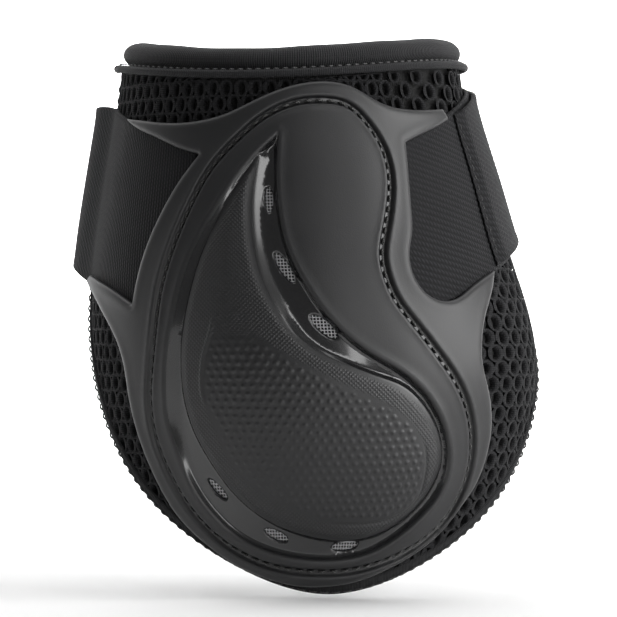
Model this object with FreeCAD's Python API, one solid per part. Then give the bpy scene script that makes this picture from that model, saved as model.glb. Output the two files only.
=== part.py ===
"""Hind fetlock boot for a horse: a moulded guard sewn on a padded liner, with an elastic strap round the
front of the leg and a hook-and-loop end. Millimetres, +Z up the leg, origin on the leg's axis at mid height.
The guard is at the rear of the leg and faces -Y. Angles go round the leg from the rear centre, towards +X."""

import FreeCAD, Part
import math
import os
from FreeCAD import Base

# ---- leg form: the outer face of the liner's mesh, level by level ----
LEVELS = [-80, -50, -30, -12, 0, 20, 40, 62, 80]
HALF_WIDTHS = [44, 56.5, 61.5, 63.2, 62.4, 58.5, 54, 49.1, 47.2]
HALF_DEPTHS = [40, 53.5, 59.5, 61.8, 61.3, 57.5, 52.5, 47.5, 45]
CENTRES_X = [0, 1, 1.6, 1.7, 0.6, -1.8, -3.3, -4.8, -4.9]
FRONT_DEPTH_SHARE = 0.8

# ---- layers, as heights above the outer face of the mesh ----
MESH = (-2.4, 0.0)
FOAM = (-5.0, -2.5)
NEOPRENE = (-8.3, -5.1)
LINING = (-9.0, -8.4)
BINDING = (-9.3, 0.5)
VENT_MESH = (0.15, 0.5)
SHELL_BACK = 0.1
VENT_RECESS = 0.8
POCKET_ROOF = 1.8
VALLEY = 1.4
GROOVE_FLOOR = 2.2
SHELL_FACE = 3.4
PAD_EDGE = 2.6
PAD_CROWN = 2.0
PAD_CENTRE = (4.0, -32.0)
PAD_SPREAD = (42.0, 40.0)

# ---- liner and collar ----
LINER_CENTRE = 7.0
LINER_HALF_OUTLINE = [(104, 40), (100, 14), (93, -5), (83.5, -21), (73, -36), (61, -49.5), (48, -59.5),
                      (33, -67.8), (16, -74)]
LINER_BOTTOM = -76.2
LINER_HALF_SPAN = 103.5
BINDING_WIDTH = 2.2
LAYER_GAP = 0.1
PIPING_LOW = 66.2
PIPING_RISE = 4.6
PIPING_LOW_ANGLE = -12.0
PIPING_RADIUS = 1.1
PIPING_STANDOFF = 1.35
COLLAR_HALF_HEIGHT = 3.7
COLLAR_HALF_THICKNESS = 5.0
COLLAR_LIFT = 3.9
COLLAR_COVER = 0.8
LINER_BELOW_PIPING = 0.8

# ---- straps ----
STRAP_START = 9.7
STRAP_CLIMB = 31.8
STRAP_CLIMB_RATE = 0.75
STRAP_LEVEL_ANGLE = 120.0
STRAP_TILT = 3.0
ELASTIC_THICKNESS = 1.2
LOOP_STRAP = (0.2, 1.3)
LOOP_HALF_WIDTH = 22.0
LOOP_END_ANGLE = 104.0
HOOK_TAPE = (1.65, 2.1)
TAB = (2.15, 3.35)
FRONT_HALF_WIDTH = 20.8
LEFT_HALF_WIDTH = 24.2
LEFT_STANDOFF = 5.2
CLOSURE_END = 60.0
CLOSURE_HINGE = 111.0
LEFT_HINGE = -122.0
HINGE_GAP = 0.25
HOOK_SPAN = (64.0, 99.0)
HOOK_SHARE = 0.84

# ---- thread ----
THREAD_RADIUS = 0.3
FINE_THREAD_RADIUS = 0.18
THREAD_CLEARANCE = 0.06
STITCH_PITCH = 3.2
STITCH_SHARE = 0.72

# ---- outlines on the leg form: (angle, height) ----
SHELL_TOP = [(-61, 54.8), (-50, 53.8), (-40, 52.9), (-30, 53), (-20, 54.9), (-10, 59), (0, 62.4), (10, 63.7),
             (19, 62.2), (28, 57.8), (36, 56.4), (52, 57)]
SHELL_UPPER_RIGHT_TIP = [(52, 57), (54, 54)]
SHELL_UNDER_RIGHT_WING = [(54, 54), (46, 51.2), (38, 48.6), (33.5, 46.8)]
SHELL_RIGHT_NOTCH = [(33.5, 46.8), (32.2, 38), (31, 29), (29.7, 22), (28, 17.5), (27.3, 13.5), (28, 9), (30.3, 5.6),
                     (34, 4), (38.5, 4.5), (44, 7.2), (56.5, 12.4)]
SHELL_SKIRT = [(56.5, 12.4), (51.5, 5.5), (47, -0.5), (44.3, -7), (44, -13), (46, -19), (48, -25), (49.2, -31),
               (49.2, -37), (47.5, -45), (44, -51), (39.5, -57.3), (33, -62.8), (24, -67.6), (15, -70.8),
               (5, -72.2), (-5, -71.9), (-14, -69.8), (-23, -66.2), (-31, -61.2), (-39, -53.8), (-45, -43), (-49, -32),
               (-51.5, -21), (-53, -12), (-56, -5.5), (-61, 0), (-68, 5.5), (-76, 9.8)]
SHELL_LOWER_LEFT_TIP = [(-76, 9.8), (-73, 11.5)]
SHELL_OVER_LEFT_WING = [(-73, 11.5), (-64, 9.3), (-56, 6.8), (-48.5, 3.5)]
SHELL_LEFT_NOTCH = [(-48.5, 3.5), (-46, 13.2), (-43, 21), (-39, 28.8), (-35, 35.2), (-28, 43.8)]
SHELL_UNDER_LEFT_WING = [(-28, 43.8), (-34, 45.3), (-43, 48.5), (-53, 51.6), (-61, 54.8)]
RIGHT_POCKET_FROM = (36, 56.4)
RIGHT_POCKET_TO = (47, -0.5)
RIGHT_POCKET = [(36, 56.4), (31.2, 50), (29.6, 42), (28.6, 34), (27.2, 26), (25, 18.5), (23.8, 12), (23.4, 5),
                (24.2, -0.5), (27.5, -3), (33, -3.2), (40, -2.2), (47, -0.5)]
LEFT_POCKET_FROM = (-40, 52.9)
LEFT_POCKET_TO = (-56, -5.5)
LEFT_POCKET = [(-56, -5.5), (-50, -5.3), (-45.5, -2), (-43, 7), (-40.2, 16), (-36.5, 26), (-31.5, 35.5),
               (-26.3, 43), (-27.5, 48), (-33, 51), (-40, 52.9)]
CHANNEL = [(10, 58.3), (17, 56.8), (22, 52), (25.5, 45), (26, 37), (24.2, 29), (21.8, 22), (20, 16), (20, 10),
           (21.5, 4), (25, -2), (30, -9.5), (36, -18), (40.5, -27), (43, -37), (42.5, -46), (39, -54), (32, -60.5),
           (22, -65.2), (13, -67.4), (3, -68), (-9, -66.9), (-19, -63.7), (-28, -58), (-35, -50), (-40, -40),
           (-43, -29), (-43, -18), (-41.2, -7), (-38.5, 7), (-35, 18), (-30, 29.5), (-23.5, 40.5), (-16, 48),
           (-8, 54), (1, 57.6)]
CHANNEL_HALF_WIDTH = 1.1
BASIN = [(-4, 49.5), (-5, 41.5), (-5.3, 34), (-5, 28), (-4, 20), (-2, 13), (1, 6), (4, 0.5), (7.5, -4), (11.5, -8),
         (16, -11.2), (21, -14.5), (26, -19), (31, -25.5), (34.5, -32.5), (36.2, -40), (35, -47), (31, -53),
         (25, -58.5), (17, -63), (7, -64.9), (-4, -64.4), (-14, -62), (-22, -57.8), (-28, -52), (-32.5, -45),
         (-35.5, -36), (-37.8, -27), (-38, -18), (-37, -9), (-35, -1), (-32.5, 8), (-29, 17), (-23, 27.5),
         (-17, 36.5), (-11, 43.5), (-4, 49.5)]
PAD = [(-10.5, 43), (-12.5, 34), (-13, 25), (-12.3, 16), (-10.5, 8), (-7, 0), (-2, -7), (6, -12), (14, -15.5),
       (21, -18.5), (27, -24), (31.5, -31), (33.5, -38), (31.5, -46), (26, -53), (17, -58), (6, -59), (-3, -57.3),
       (-12, -53.5), (-20, -47), (-26, -38.5), (-31, -28), (-33, -17), (-32.5, -6), (-30, 5), (-26, 17),
       (-20, 29), (-14, 38.5), (-10.5, 43)]
# each vent: centre angle, centre height, length, width, slope of its long axis
UPPER_VENTS = [(-8, 31.5, 7.2, 2.4, 90), (-5, 13.2, 9.2, 2.8, -62), (3, -2.5, 8.4, 3.2, -45)]
LOWER_VENTS = [(-26, -46.2, 7.6, 2.4, -45), (-10, -58.6, 7.8, 2.7, -22), (10, -61.6, 8.4, 2.7, 6)]
UPPER_RECESS = [(-8, 38), (-3.5, 33), (-0.5, 15), (7, 1), (8, -6), (3, -9), (-5, -2), (-10, 8), (-12, 20), (-12.5, 34)]
LOWER_RECESS = [(-31, -44), (-27, -39.5), (-18, -48), (-8, -54), (8, -57.6), (17, -57.8), (18.5, -62), (12, -65.6),
                (-2, -64.6), (-14, -61), (-25, -52.5)]
RECESS_MARGIN = 0.3


# ---------------------------------------------------------------- numbers
def natural_spline(xs, ys):
    """The natural cubic spline through the points, as a function."""
    count = len(xs)
    gaps = [b - a for a, b in zip(xs, xs[1:])]
    bends, carry = [0.0] * count, [(0.0, 0.0)]
    for i in range(1, count - 1):
        rise = 6 * ((ys[i + 1] - ys[i]) / gaps[i] - (ys[i] - ys[i - 1]) / gaps[i - 1])
        pivot = 2 * (gaps[i - 1] + gaps[i]) - gaps[i - 1] * carry[-1][0]
        carry.append((gaps[i] / pivot, (rise - gaps[i - 1] * carry[-1][1]) / pivot))
    for i in range(count - 2, 0, -1):
        bends[i] = carry[i][1] - carry[i][0] * bends[i + 1]

    def value(x):
        i = max(k for k in range(count - 1) if k == 0 or xs[k] <= x)
        gap, right = gaps[i], (x - xs[i]) / gaps[i]
        left = 1 - right
        bend = (left ** 3 - left) * bends[i] + (right ** 3 - right) * bends[i + 1]
        return left * ys[i] + right * ys[i + 1] + bend * gap * gap / 6

    return value


half_width = natural_spline(LEVELS, HALF_WIDTHS)
half_depth = natural_spline(LEVELS, HALF_DEPTHS)
centre_x = natural_spline(LEVELS, CENTRES_X)


def ease(value, start, end):
    """0 before start, 1 after end, smooth between them."""
    t = min(1.0, max(0.0, (value - start) / (end - start)))
    return t * t * (3 - 2 * t)


def ring(angle, height):
    """A point of the leg form: an ellipse at each height, flatter towards the front."""
    turn = math.radians(angle)
    flat = 1 - (1 - FRONT_DEPTH_SHARE) * (1 - math.cos(turn)) / 2
    x = centre_x(height) + half_width(height) * math.sin(turn)
    return FreeCAD.Vector(x, -half_depth(height) * flat * math.cos(turn), height)


def leg(angle, height, level):
    """A point at a level above the leg form, along the form's normal."""
    step = 0.5
    around = ring(angle + step, height) - ring(angle - step, height)
    up = ring(angle, height + step) - ring(angle, height - step)
    return ring(angle, height) + around.cross(up).normalize() * level


def piping_height(angle):
    """The liner's top seam dips at the rear."""
    lean = math.radians(min(90, abs(angle - PIPING_LOW_ANGLE)))
    return PIPING_LOW + PIPING_RISE * math.sin(lean) ** 2


# ---------------------------------------------------------------- surfaces and solids
def row_poles(points):
    """Poles of a cubic spline through the points, with central-difference slopes. One point is extra at each end."""
    poles = []
    for before, here, after in zip(points, points[1:], points[2:]):
        third = (after - before) / 6
        poles += [here - third, here + third]
    poles[0], poles[-1] = points[1], points[-2]
    return poles


def skin(place, u_span, v_span, u_steps, v_steps):
    """The spline surface of place(u, v), with u and v as its own parameters."""
    u_gap = (u_span[1] - u_span[0]) / u_steps
    v_gap = (v_span[1] - v_span[0]) / v_steps
    rows = []
    for i in range(-1, u_steps + 2):
        u = u_span[0] + i * u_gap
        rows.append(row_poles([place(u, v_span[0] + j * v_gap) for j in range(-1, v_steps + 2)]))
    poles = list(zip(*[row_poles(list(column)) for column in zip(*rows)]))
    surface = Part.BSplineSurface()
    surface.buildFromPolesMultsKnots(
        poles, [4] + [2] * (u_steps - 1) + [4], [4] + [2] * (v_steps - 1) + [4],
        [u_span[0] + i * u_gap for i in range(u_steps + 1)],
        [v_span[0] + j * v_gap for j in range(v_steps + 1)], False, False, 3, 3)
    return surface


def curve(points, closed=False):
    """A smooth flat curve through the points, or a straight one through two."""
    flat = [Base.Vector2d(*point) for point in points]
    if len(flat) == 2:
        return Part.Geom2d.Line2dSegment(*flat)
    smooth = Part.Geom2d.BSplineCurve2d()
    smooth.interpolate(Points=flat, PeriodicFlag=closed)
    return smooth


def split(smooth, *points):
    """The curve's pieces between its ends and the points that lie on it."""
    stops = [smooth.FirstParameter] + sorted(smooth.parameter(Base.Vector2d(*p)) for p in points)
    pieces = []
    for low, high in zip(stops, stops[1:] + [smooth.LastParameter]):
        piece = smooth.copy()
        piece.segment(low, high)
        pieces.append(piece)
    return pieces


def shifted(points, distance, closed=False):
    """The points moved sideways by a distance in millimetres, to the left of their direction."""
    moved = []
    last = len(points) - 1
    for i, (angle, height) in enumerate(points):
        before = points[i - 1] if closed or i else points[i]
        after = points[(i + 1) % len(points)] if closed or i < last else points[i]
        scale = math.radians(half_width(height))
        along = ((after[0] - before[0]) * scale, after[1] - before[1])
        length = math.hypot(*along)
        moved.append((angle - along[1] / length * distance / scale, height + along[0] / length * distance))
    return moved


class Stack:
    """Faces on spline surfaces and the walls between them, sewn into one solid."""

    def __init__(self):
        self.faces = []

    def face(self, surface, outline, holes=()):
        face = Part.Face(surface, Part.Wire([side.toShape(surface) for side in outline]))
        if holes:
            face.cutHoles([Part.Wire([side.toShape(surface) for side in hole]) for hole in holes])
        face.validate()
        self.faces.append(face)

    def walls(self, sides, low, high):
        for side in sides:
            self.faces.append(Part.makeRuledSurface(side.toShape(low), side.toShape(high)))

    def solid(self):
        return sewn(self.faces)


def sewn(faces):
    """One closed solid from faces that meet edge to edge."""
    body = Part.makeCompound(faces)
    body.sewShape()
    result = Part.Solid(body if body.ShapeType == "Shell" else body.Shells[0])
    if result.Volume < 0:
        result.reverse()
    return result


def slab(low, high, outline, holes=()):
    """A sheet between two surfaces, inside an outline."""
    stack = Stack()
    for surface in (low, high):
        stack.face(surface, outline, holes)
    stack.walls([side for loop in (outline, *holes) for side in loop], low, high)
    return stack.solid()


def leg_skin(level):
    """The surface at a level over the liner's whole area. A level is a number or a function of place."""
    height_of = level if callable(level) else lambda angle, height: level
    return skin(lambda a, h: leg(a, h, height_of(a, h)), (-104, 120), (-84, 84), 28, 28)


# ---------------------------------------------------------------- liner
def liner_edge(inset):
    """The liner's free edge, from the top at the right, round the bottom, to the top at the left."""
    right = [(LINER_CENTRE + a, h) for a, h in LINER_HALF_OUTLINE]
    left = [(LINER_CENTRE - a, h) for a, h in reversed(LINER_HALF_OUTLINE)]
    ends = [LINER_CENTRE + side * LINER_HALF_SPAN for side in (1, -1)]
    tops = [(a, piping_height(a) - LINER_BELOW_PIPING) for a in ends]
    return shifted([tops[0], *right, (LINER_CENTRE, LINER_BOTTOM), *left, tops[1]], -inset)


def liner_outline(inset):
    edge = liner_edge(inset)
    start, end = edge[-1][0], edge[0][0]
    steps = 8
    angles = [start + (end - start) * i / steps for i in range(steps + 1)]
    top = [(a, piping_height(a) - LINER_BELOW_PIPING) for a in angles]
    top[0], top[-1] = edge[-1], edge[0]
    return [curve(edge), curve(top)]


def liner_layer(levels):
    return slab(leg_skin(levels[0]), leg_skin(levels[1]), liner_outline(BINDING_WIDTH + LAYER_GAP))


def edge_binding():
    outer, inner = liner_edge(0), liner_edge(BINDING_WIDTH)
    outline = [curve(outer), curve([outer[-1], inner[-1]]), curve(inner[::-1]), curve([inner[0], outer[0]])]
    return slab(leg_skin(BINDING[0]), leg_skin(BINDING[1]), outline)


def roll(half_thickness, half_height, standoff, lift):
    """A closed oval tube along the liner's top seam, as its surface."""
    span = [LINER_CENTRE - LINER_HALF_SPAN, LINER_CENTRE + LINER_HALF_SPAN]

    def place(angle, turn):
        height = piping_height(angle) + lift
        outward = ring(angle + 0.5, height) - ring(angle - 0.5, height)
        outward = FreeCAD.Vector(outward.y, -outward.x, 0).normalize()
        around = math.radians(turn)
        rise = FreeCAD.Vector(0, 0, half_height * math.sin(around))
        return ring(angle, height) + outward * (standoff + half_thickness * math.cos(around)) + rise

    return skin(place, span, (0, 360), 26, 12)


def tube(*surfaces):
    """A solid inside one closed tube surface, or between an outer and an inner one."""
    faces = [surface.toShape() for surface in surfaces]
    for end in (0, -1):
        rims = [Part.Wire(surface.uIso(surface.bounds()[end and 1]).toShape()) for surface in surfaces]
        cap = Part.Face(rims[0])
        if rims[1:]:
            cap = cap.cut(Part.Face(rims[1])).Faces[0]
        faces.append(cap)
    return sewn(faces)


def collar():
    centre = -COLLAR_HALF_THICKNESS + 0.4
    outer = roll(COLLAR_HALF_THICKNESS, COLLAR_HALF_HEIGHT, centre, COLLAR_LIFT)
    inner = roll(COLLAR_HALF_THICKNESS - COLLAR_COVER, COLLAR_HALF_HEIGHT - COLLAR_COVER, centre, COLLAR_LIFT)
    room = COLLAR_COVER + LAYER_GAP
    core = roll(COLLAR_HALF_THICKNESS - room, COLLAR_HALF_HEIGHT - room, centre, COLLAR_LIFT)
    piping = roll(PIPING_RADIUS, PIPING_RADIUS, PIPING_STANDOFF, 0)
    return {"collar_cover": tube(outer, inner), "collar_foam": tube(core), "top_piping": tube(piping)}


# ---------------------------------------------------------------- guard shell
def vent_outline(angle, height, length, width, slope, margin=0.0):
    """An oval slot on the leg form, as a closed curve."""
    lean, scale = math.radians(slope), math.radians(half_width(height))
    points = []
    for i in range(12):
        turn = 2 * math.pi * i / 12
        along, across = (length / 2 + margin) * math.cos(turn), (width / 2 + margin) * math.sin(turn)
        x = along * math.cos(lean) - across * math.sin(lean)
        y = along * math.sin(lean) + across * math.cos(lean)
        points.append((angle + x / scale, height + y))
    return curve(points, closed=True)


def pad_level(angle, height):
    """The pad is domed over the heel."""
    away = math.hypot((angle - PAD_CENTRE[0]) / PAD_SPREAD[0], (height - PAD_CENTRE[1]) / PAD_SPREAD[1])
    return PAD_EDGE + PAD_CROWN * (1 - ease(away, 0, 1.2))


def guard_shell():
    back, recess, roof = leg_skin(SHELL_BACK), leg_skin(VENT_RECESS), leg_skin(POCKET_ROOF)
    valley, groove, top = leg_skin(VALLEY), leg_skin(GROOVE_FLOOR), leg_skin(SHELL_FACE)
    pad = leg_skin(pad_level)
    top_free = split(curve(SHELL_TOP), LEFT_POCKET_FROM, RIGHT_POCKET_FROM)
    skirt = split(curve(SHELL_SKIRT), RIGHT_POCKET_TO, LEFT_POCKET_TO)
    right_rim = [top_free[2]] + [curve(side) for side in (
        SHELL_UPPER_RIGHT_TIP, SHELL_UNDER_RIGHT_WING, SHELL_RIGHT_NOTCH)] + [skirt[0]]
    left_rim = [skirt[2]] + [curve(side) for side in (
        SHELL_LOWER_LEFT_TIP, SHELL_OVER_LEFT_WING, SHELL_LEFT_NOTCH, SHELL_UNDER_LEFT_WING)] + [top_free[0]]
    right_pocket, left_pocket = curve(RIGHT_POCKET), curve(LEFT_POCKET)
    channel = [[curve(shifted(CHANNEL, side * CHANNEL_HALF_WIDTH, closed=True), closed=True)] for side in (1, -1)]
    basin, paisley = [curve(BASIN)], [curve(PAD)]
    vents = {rim: [[vent_outline(*vent)] for vent in group] for rim, group in enumerate((UPPER_VENTS, LOWER_VENTS))}
    recesses = [[curve(outline, closed=True)] for outline in (UPPER_RECESS, LOWER_RECESS)]

    stack = Stack()
    stack.face(top, [top_free[1], *right_rim, skirt[1], *left_rim], [channel[0]])
    stack.face(groove, channel[0], [channel[1]])
    stack.face(top, channel[1], [basin])
    stack.face(valley, basin, [paisley, *vents[0], *vents[1]])
    stack.face(pad, paisley)
    stack.face(back, [top_free[1], right_pocket, skirt[1], left_pocket], recesses)
    stack.face(roof, [*right_rim, right_pocket])
    stack.face(roof, [*left_rim, left_pocket])
    for loop in channel:
        stack.walls(loop, groove, top)
    stack.walls(basin, valley, top)
    stack.walls(paisley, valley, pad)
    stack.walls([top_free[1], skirt[1]], back, roof)
    stack.walls([top_free[1], skirt[1], *right_rim, *left_rim], roof, top)
    stack.walls([right_pocket, left_pocket], back, roof)
    for rim, loop in enumerate(recesses):
        stack.face(recess, loop, vents[rim])
        stack.walls(loop, back, recess)
        for vent in vents[rim]:
            stack.walls(vent, recess, valley)
    return stack.solid()


def vent_mesh(outline):
    inner = curve(shifted(outline, -RECESS_MARGIN, closed=True), closed=True)
    return slab(leg_skin(VENT_MESH[0]), leg_skin(VENT_MESH[1]), [inner])


# ---------------------------------------------------------------- straps
def strap_middle(angle):
    """The strap climbs from the guard to the front of the leg, a little higher on the right."""
    short = abs((angle + 180) % 360 - 180)
    climb = math.sin(math.radians(STRAP_CLIMB_RATE * min(short, STRAP_LEVEL_ANGLE)))
    return STRAP_START + STRAP_CLIMB * climb + STRAP_TILT * math.sin(math.radians(angle))


def left_half_width(angle):
    return LEFT_HALF_WIDTH + (FRONT_HALF_WIDTH - LEFT_HALF_WIDTH) * ease(-angle, 78, 104)


def left_standoff(angle):
    return LOOP_STRAP[0] + (LEFT_STANDOFF - LOOP_STRAP[0]) * ease(-angle, 76, 94)


def front_standoff(angle):
    return TAB[0] + (LEFT_STANDOFF - TAB[0]) * ease(angle, CLOSURE_HINGE, LEFT_HINGE + 360)


def strap_place(half, level):
    """Where a strap's point is, from its angle and its share of the half width, -1 to 1."""
    return lambda angle, share: leg(angle, strap_middle(angle) + share * half(angle), level(angle))


def strap(span, half, low, high, end=None):
    """A strap between two levels. Its end is a straight cut, or a curve of (angle, share) points."""
    steps = max(4, round((span[1] - span[0]) / 6))
    surfaces = [skin(strap_place(half, level), span, (-1.2, 1.2), steps, 8) for level in (low, high)]
    start, stop = span
    sides = [curve([(start, -1), (stop, -1)]), curve([(stop, -1), (stop, 1)]),
             curve([(stop, 1), (start, 1)]), curve([(start, 1), (start, -1)])]
    if end and end[0][0] < (start + stop) / 2:
        sides = [curve([end[-1], (stop, -1)]), sides[1], curve([(stop, 1), end[0]]), curve(end)]
    elif end:
        sides = [curve([(start, -1), end[0]]), curve(end), curve([end[-1], (start, 1)]), sides[3]]
    return slab(*surfaces, sides)


def straps():
    gap = math.degrees(HINGE_GAP / half_width(strap_middle(CLOSURE_HINGE)))
    far_hinge = LEFT_HINGE + 360
    fixed_end = [(-46.8, -1), (-44.6, -0.75), (-41.4, -0.37), (-37.8, 0.03), (-33, 0.5), (-28.6, 1)]
    loop_end = [(32, 1), (30.2, 0.6), (28.4, 0.1), (26.2, -0.4), (25.8, -1)]
    return {
        "left_elastic": strap((LEFT_HINGE + gap, -26), left_half_width, left_standoff,
                              lambda a: left_standoff(a) + ELASTIC_THICKNESS, fixed_end),
        "loop_strap": strap((24, LOOP_END_ANGLE), lambda a: LOOP_HALF_WIDTH, lambda a: LOOP_STRAP[0],
                            lambda a: LOOP_STRAP[1], loop_end),
        "front_elastic": strap((CLOSURE_HINGE + gap, far_hinge - gap), lambda a: FRONT_HALF_WIDTH, front_standoff,
                               lambda a: front_standoff(a) + ELASTIC_THICKNESS),
        "closure_tab": strap((CLOSURE_END, CLOSURE_HINGE - gap), lambda a: FRONT_HALF_WIDTH,
                             lambda a: TAB[0], lambda a: TAB[1]),
        "hook_tape": strap(HOOK_SPAN, lambda a: FRONT_HALF_WIDTH * HOOK_SHARE,
                           lambda a: HOOK_TAPE[0], lambda a: HOOK_TAPE[1]),
    }


# ---------------------------------------------------------------- thread
def stitches(path, radius=THREAD_RADIUS):
    """Short straight threads along a path of points, one group of separate solids."""
    spine = Part.BSplineCurve()
    spine.interpolate(path)
    edge = spine.toShape()
    count = round(edge.Length / STITCH_PITCH)
    stops = edge.discretize(Number=count + 1)
    threads = []
    for start, stop in zip(stops, stops[1:]):
        run = (stop - start) * STITCH_SHARE
        threads.append(Part.makeCylinder(radius, run.Length, start, run))
    return Part.makeCompound(threads)


def thread_rows():
    rise = THREAD_RADIUS + THREAD_CLEARANCE
    fine_rise = FINE_THREAD_RADIUS + THREAD_CLEARANCE
    sampled = curve(CHANNEL, closed=True).discretize(Number=140)
    loop = [leg(p.x, p.y, GROOVE_FLOOR + rise) for p in sampled]
    edge = curve(liner_edge(BINDING_WIDTH * 0.6)).discretize(Number=90)
    hem = [leg(p.x, p.y, BINDING[1] + rise) for p in edge[1:-1]]
    span = [LINER_CENTRE + side * (LINER_HALF_SPAN - 4) for side in (-1, 1)]
    angles = [span[0] + (span[1] - span[0]) * i / 40 for i in range(41)]
    top = [leg(a, piping_height(a) - 2.2, rise) for a in angles]
    shares = [-0.9 + 1.8 * i / 12 for i in range(13)]
    loop_place = strap_place(lambda a: LOOP_HALF_WIDTH, lambda a: LOOP_STRAP[1] + fine_rise)
    tab_place = strap_place(lambda a: FRONT_HALF_WIDTH, lambda a: TAB[1] + rise)
    return {
        "shell_stitching": stitches(loop),
        "binding_stitching": stitches(hem),
        "collar_stitching": stitches(top),
        "loop_strap_stitching": stitches([loop_place(LOOP_END_ANGLE - 1.2, s) for s in shares], FINE_THREAD_RADIUS),
        "closure_stitching": stitches([tab_place(CLOSURE_END + 2, s) for s in shares]),
    }


def hinge_lines():
    """Each strap fold line lies in the outer skin of the elastic: a point on it, its direction, and its name."""
    lines = []
    for name, angle, level in (("closure_peel", CLOSURE_HINGE, TAB[1]),
                               ("front_strap_swing", LEFT_HINGE, LEFT_STANDOFF + ELASTIC_THICKNESS)):
        place = strap_place(lambda a: FRONT_HALF_WIDTH, lambda a: level)
        low, high = place(angle, -1), place(angle, 1)
        lines.append((name, (low + high) / 2, (high - low).normalize()))
    return lines


def main():
    parts = {
        "guard_shell": guard_shell(),
        "vent_mesh_upper": vent_mesh(UPPER_RECESS),
        "vent_mesh_lower": vent_mesh(LOWER_RECESS),
        "spacer_mesh": liner_layer(MESH),
        "impact_foam": liner_layer(FOAM),
        "neoprene_liner": liner_layer(NEOPRENE),
        "lining_fabric": liner_layer(LINING),
        "edge_binding": edge_binding(),
        **collar(), **straps(), **thread_rows(),
    }
    os.makedirs("parts", exist_ok=True)
    for name, shape in parts.items():
        shape.exportStep(f"parts/{name}.step")
        print(f"{name}: {len(shape.Solids)} solids, {shape.Volume / 1000:.2f} cm3, valid {shape.isValid()}")
    for name, point, direction in hinge_lines():
        print(name, [round(v, 2) for v in point], [round(v, 4) for v in direction])


main()
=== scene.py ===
"""Hind fetlock boot for a horse: the guard, the open-mesh liner, the collar and the straps, round the
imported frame.

Shapes are worked out in millimetres on the leg's form and written in metres, +Z up the leg, the guard
facing -Y. A place on the form is (across, height): across is FLAT millimetres for each degree round the leg
from the rear centre, positive towards +X, so that distances on the guard can be measured as if it lay
flat."""

import math

import bmesh
import bpy
import numpy as np
from mathutils.geometry import delaunay_2d_cdt
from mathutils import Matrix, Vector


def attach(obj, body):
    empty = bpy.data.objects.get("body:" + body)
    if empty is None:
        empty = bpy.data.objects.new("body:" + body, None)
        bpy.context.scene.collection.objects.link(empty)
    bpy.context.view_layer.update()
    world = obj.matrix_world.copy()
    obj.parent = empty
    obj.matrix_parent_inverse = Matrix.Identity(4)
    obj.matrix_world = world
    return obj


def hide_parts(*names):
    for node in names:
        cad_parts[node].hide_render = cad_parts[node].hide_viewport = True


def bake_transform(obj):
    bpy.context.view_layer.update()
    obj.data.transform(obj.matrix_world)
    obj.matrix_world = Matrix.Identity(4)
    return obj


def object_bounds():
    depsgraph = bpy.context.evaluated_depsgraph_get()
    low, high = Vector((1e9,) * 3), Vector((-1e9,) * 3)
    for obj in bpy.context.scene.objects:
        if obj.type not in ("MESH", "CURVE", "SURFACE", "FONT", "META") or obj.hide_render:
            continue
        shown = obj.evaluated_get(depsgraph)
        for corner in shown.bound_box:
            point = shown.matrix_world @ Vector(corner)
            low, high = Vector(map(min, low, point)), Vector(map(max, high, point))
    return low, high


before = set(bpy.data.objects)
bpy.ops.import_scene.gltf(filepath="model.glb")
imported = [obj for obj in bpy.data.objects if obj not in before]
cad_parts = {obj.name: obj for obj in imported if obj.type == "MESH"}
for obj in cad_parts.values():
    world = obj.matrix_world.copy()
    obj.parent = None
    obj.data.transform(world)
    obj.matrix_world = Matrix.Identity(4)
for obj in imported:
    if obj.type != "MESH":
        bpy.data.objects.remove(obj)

cad_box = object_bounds()
chance = np.random.default_rng(7)

FLAT = 1.05

# ---------------------------------------------------------------- the leg's form
LEVELS = [-80, -50, -30, -12, 0, 20, 40, 62, 80]
HALF_WIDTHS = [44, 56.5, 61.5, 63.2, 62.4, 58.5, 54, 49.1, 47.2]
HALF_DEPTHS = [40, 53.5, 59.5, 61.8, 61.3, 57.5, 52.5, 47.5, 45]
CENTRES_X = [0, 1, 1.6, 1.7, 0.6, -1.8, -3.3, -4.8, -4.9]
FRONT_DEPTH_SHARE = 0.8

# heights above the outer face of the mesh
SHELL_BACK, POCKET_ROOF = 0.1, 1.8
SHELL_FACE, VALLEY, GROOVE = 3.4, 1.35, 1.25
PAD_EDGE, PAD_CROWN = 2.6, 2.3
RIM_RADIUS, STUD_PITCH, STUD_HEIGHT = 1.35, 2.3, 0.28
MESH_DEPTH, LINING_FACE = 2.3, -9.0
BINDING = (-9.3, 0.5)
MESH_PITCH, MESH_ROW, HOLE_HALF_WIDTH, HOLE_HALF_HEIGHT = 5.0, 4.25, 1.2, 1.95
NET_PITCH, NET_HALF_THREAD = 0.86, 0.13

# liner, collar and straps
LINER_CENTRE = 7.0
LINER_HALF_OUTLINE = [(104, 40), (100, 14), (93, -5), (83.5, -21), (73, -36), (61, -49.5), (48, -59.5),
                      (33, -67.8), (16, -74)]
LINER_BOTTOM, LINER_HALF_SPAN = -76.2, 103.5
PIPING_LOW, PIPING_RISE, PIPING_LOW_ANGLE = 66.2, 4.6, -12.0
PIPING_RADIUS, PIPING_STANDOFF = 1.1, 1.35
ROLL_HALF_HEIGHT, ROLL_HALF_THICKNESS, ROLL_LIFT = 3.7, 5.0, 3.9
STRAP_START, STRAP_CLIMB, STRAP_CLIMB_RATE, STRAP_LEVEL_ANGLE, STRAP_TILT = 9.7, 31.8, 0.75, 120.0, 3.0
LOOP_LEVELS, LOOP_HALF_WIDTH, LOOP_END = (0.2, 1.3), 22.0, 104.0
HOOK_LEVELS, HOOK_SPAN, HOOK_HALF_WIDTH = (1.65, 2.1), (64.0, 99.0), 17.5
TAB_LEVEL, TAB_THICKNESS, FRONT_HALF_WIDTH = 2.15, 1.2, 20.8
LEFT_HALF_WIDTH, LEFT_STANDOFF = 24.2, 5.2
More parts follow.
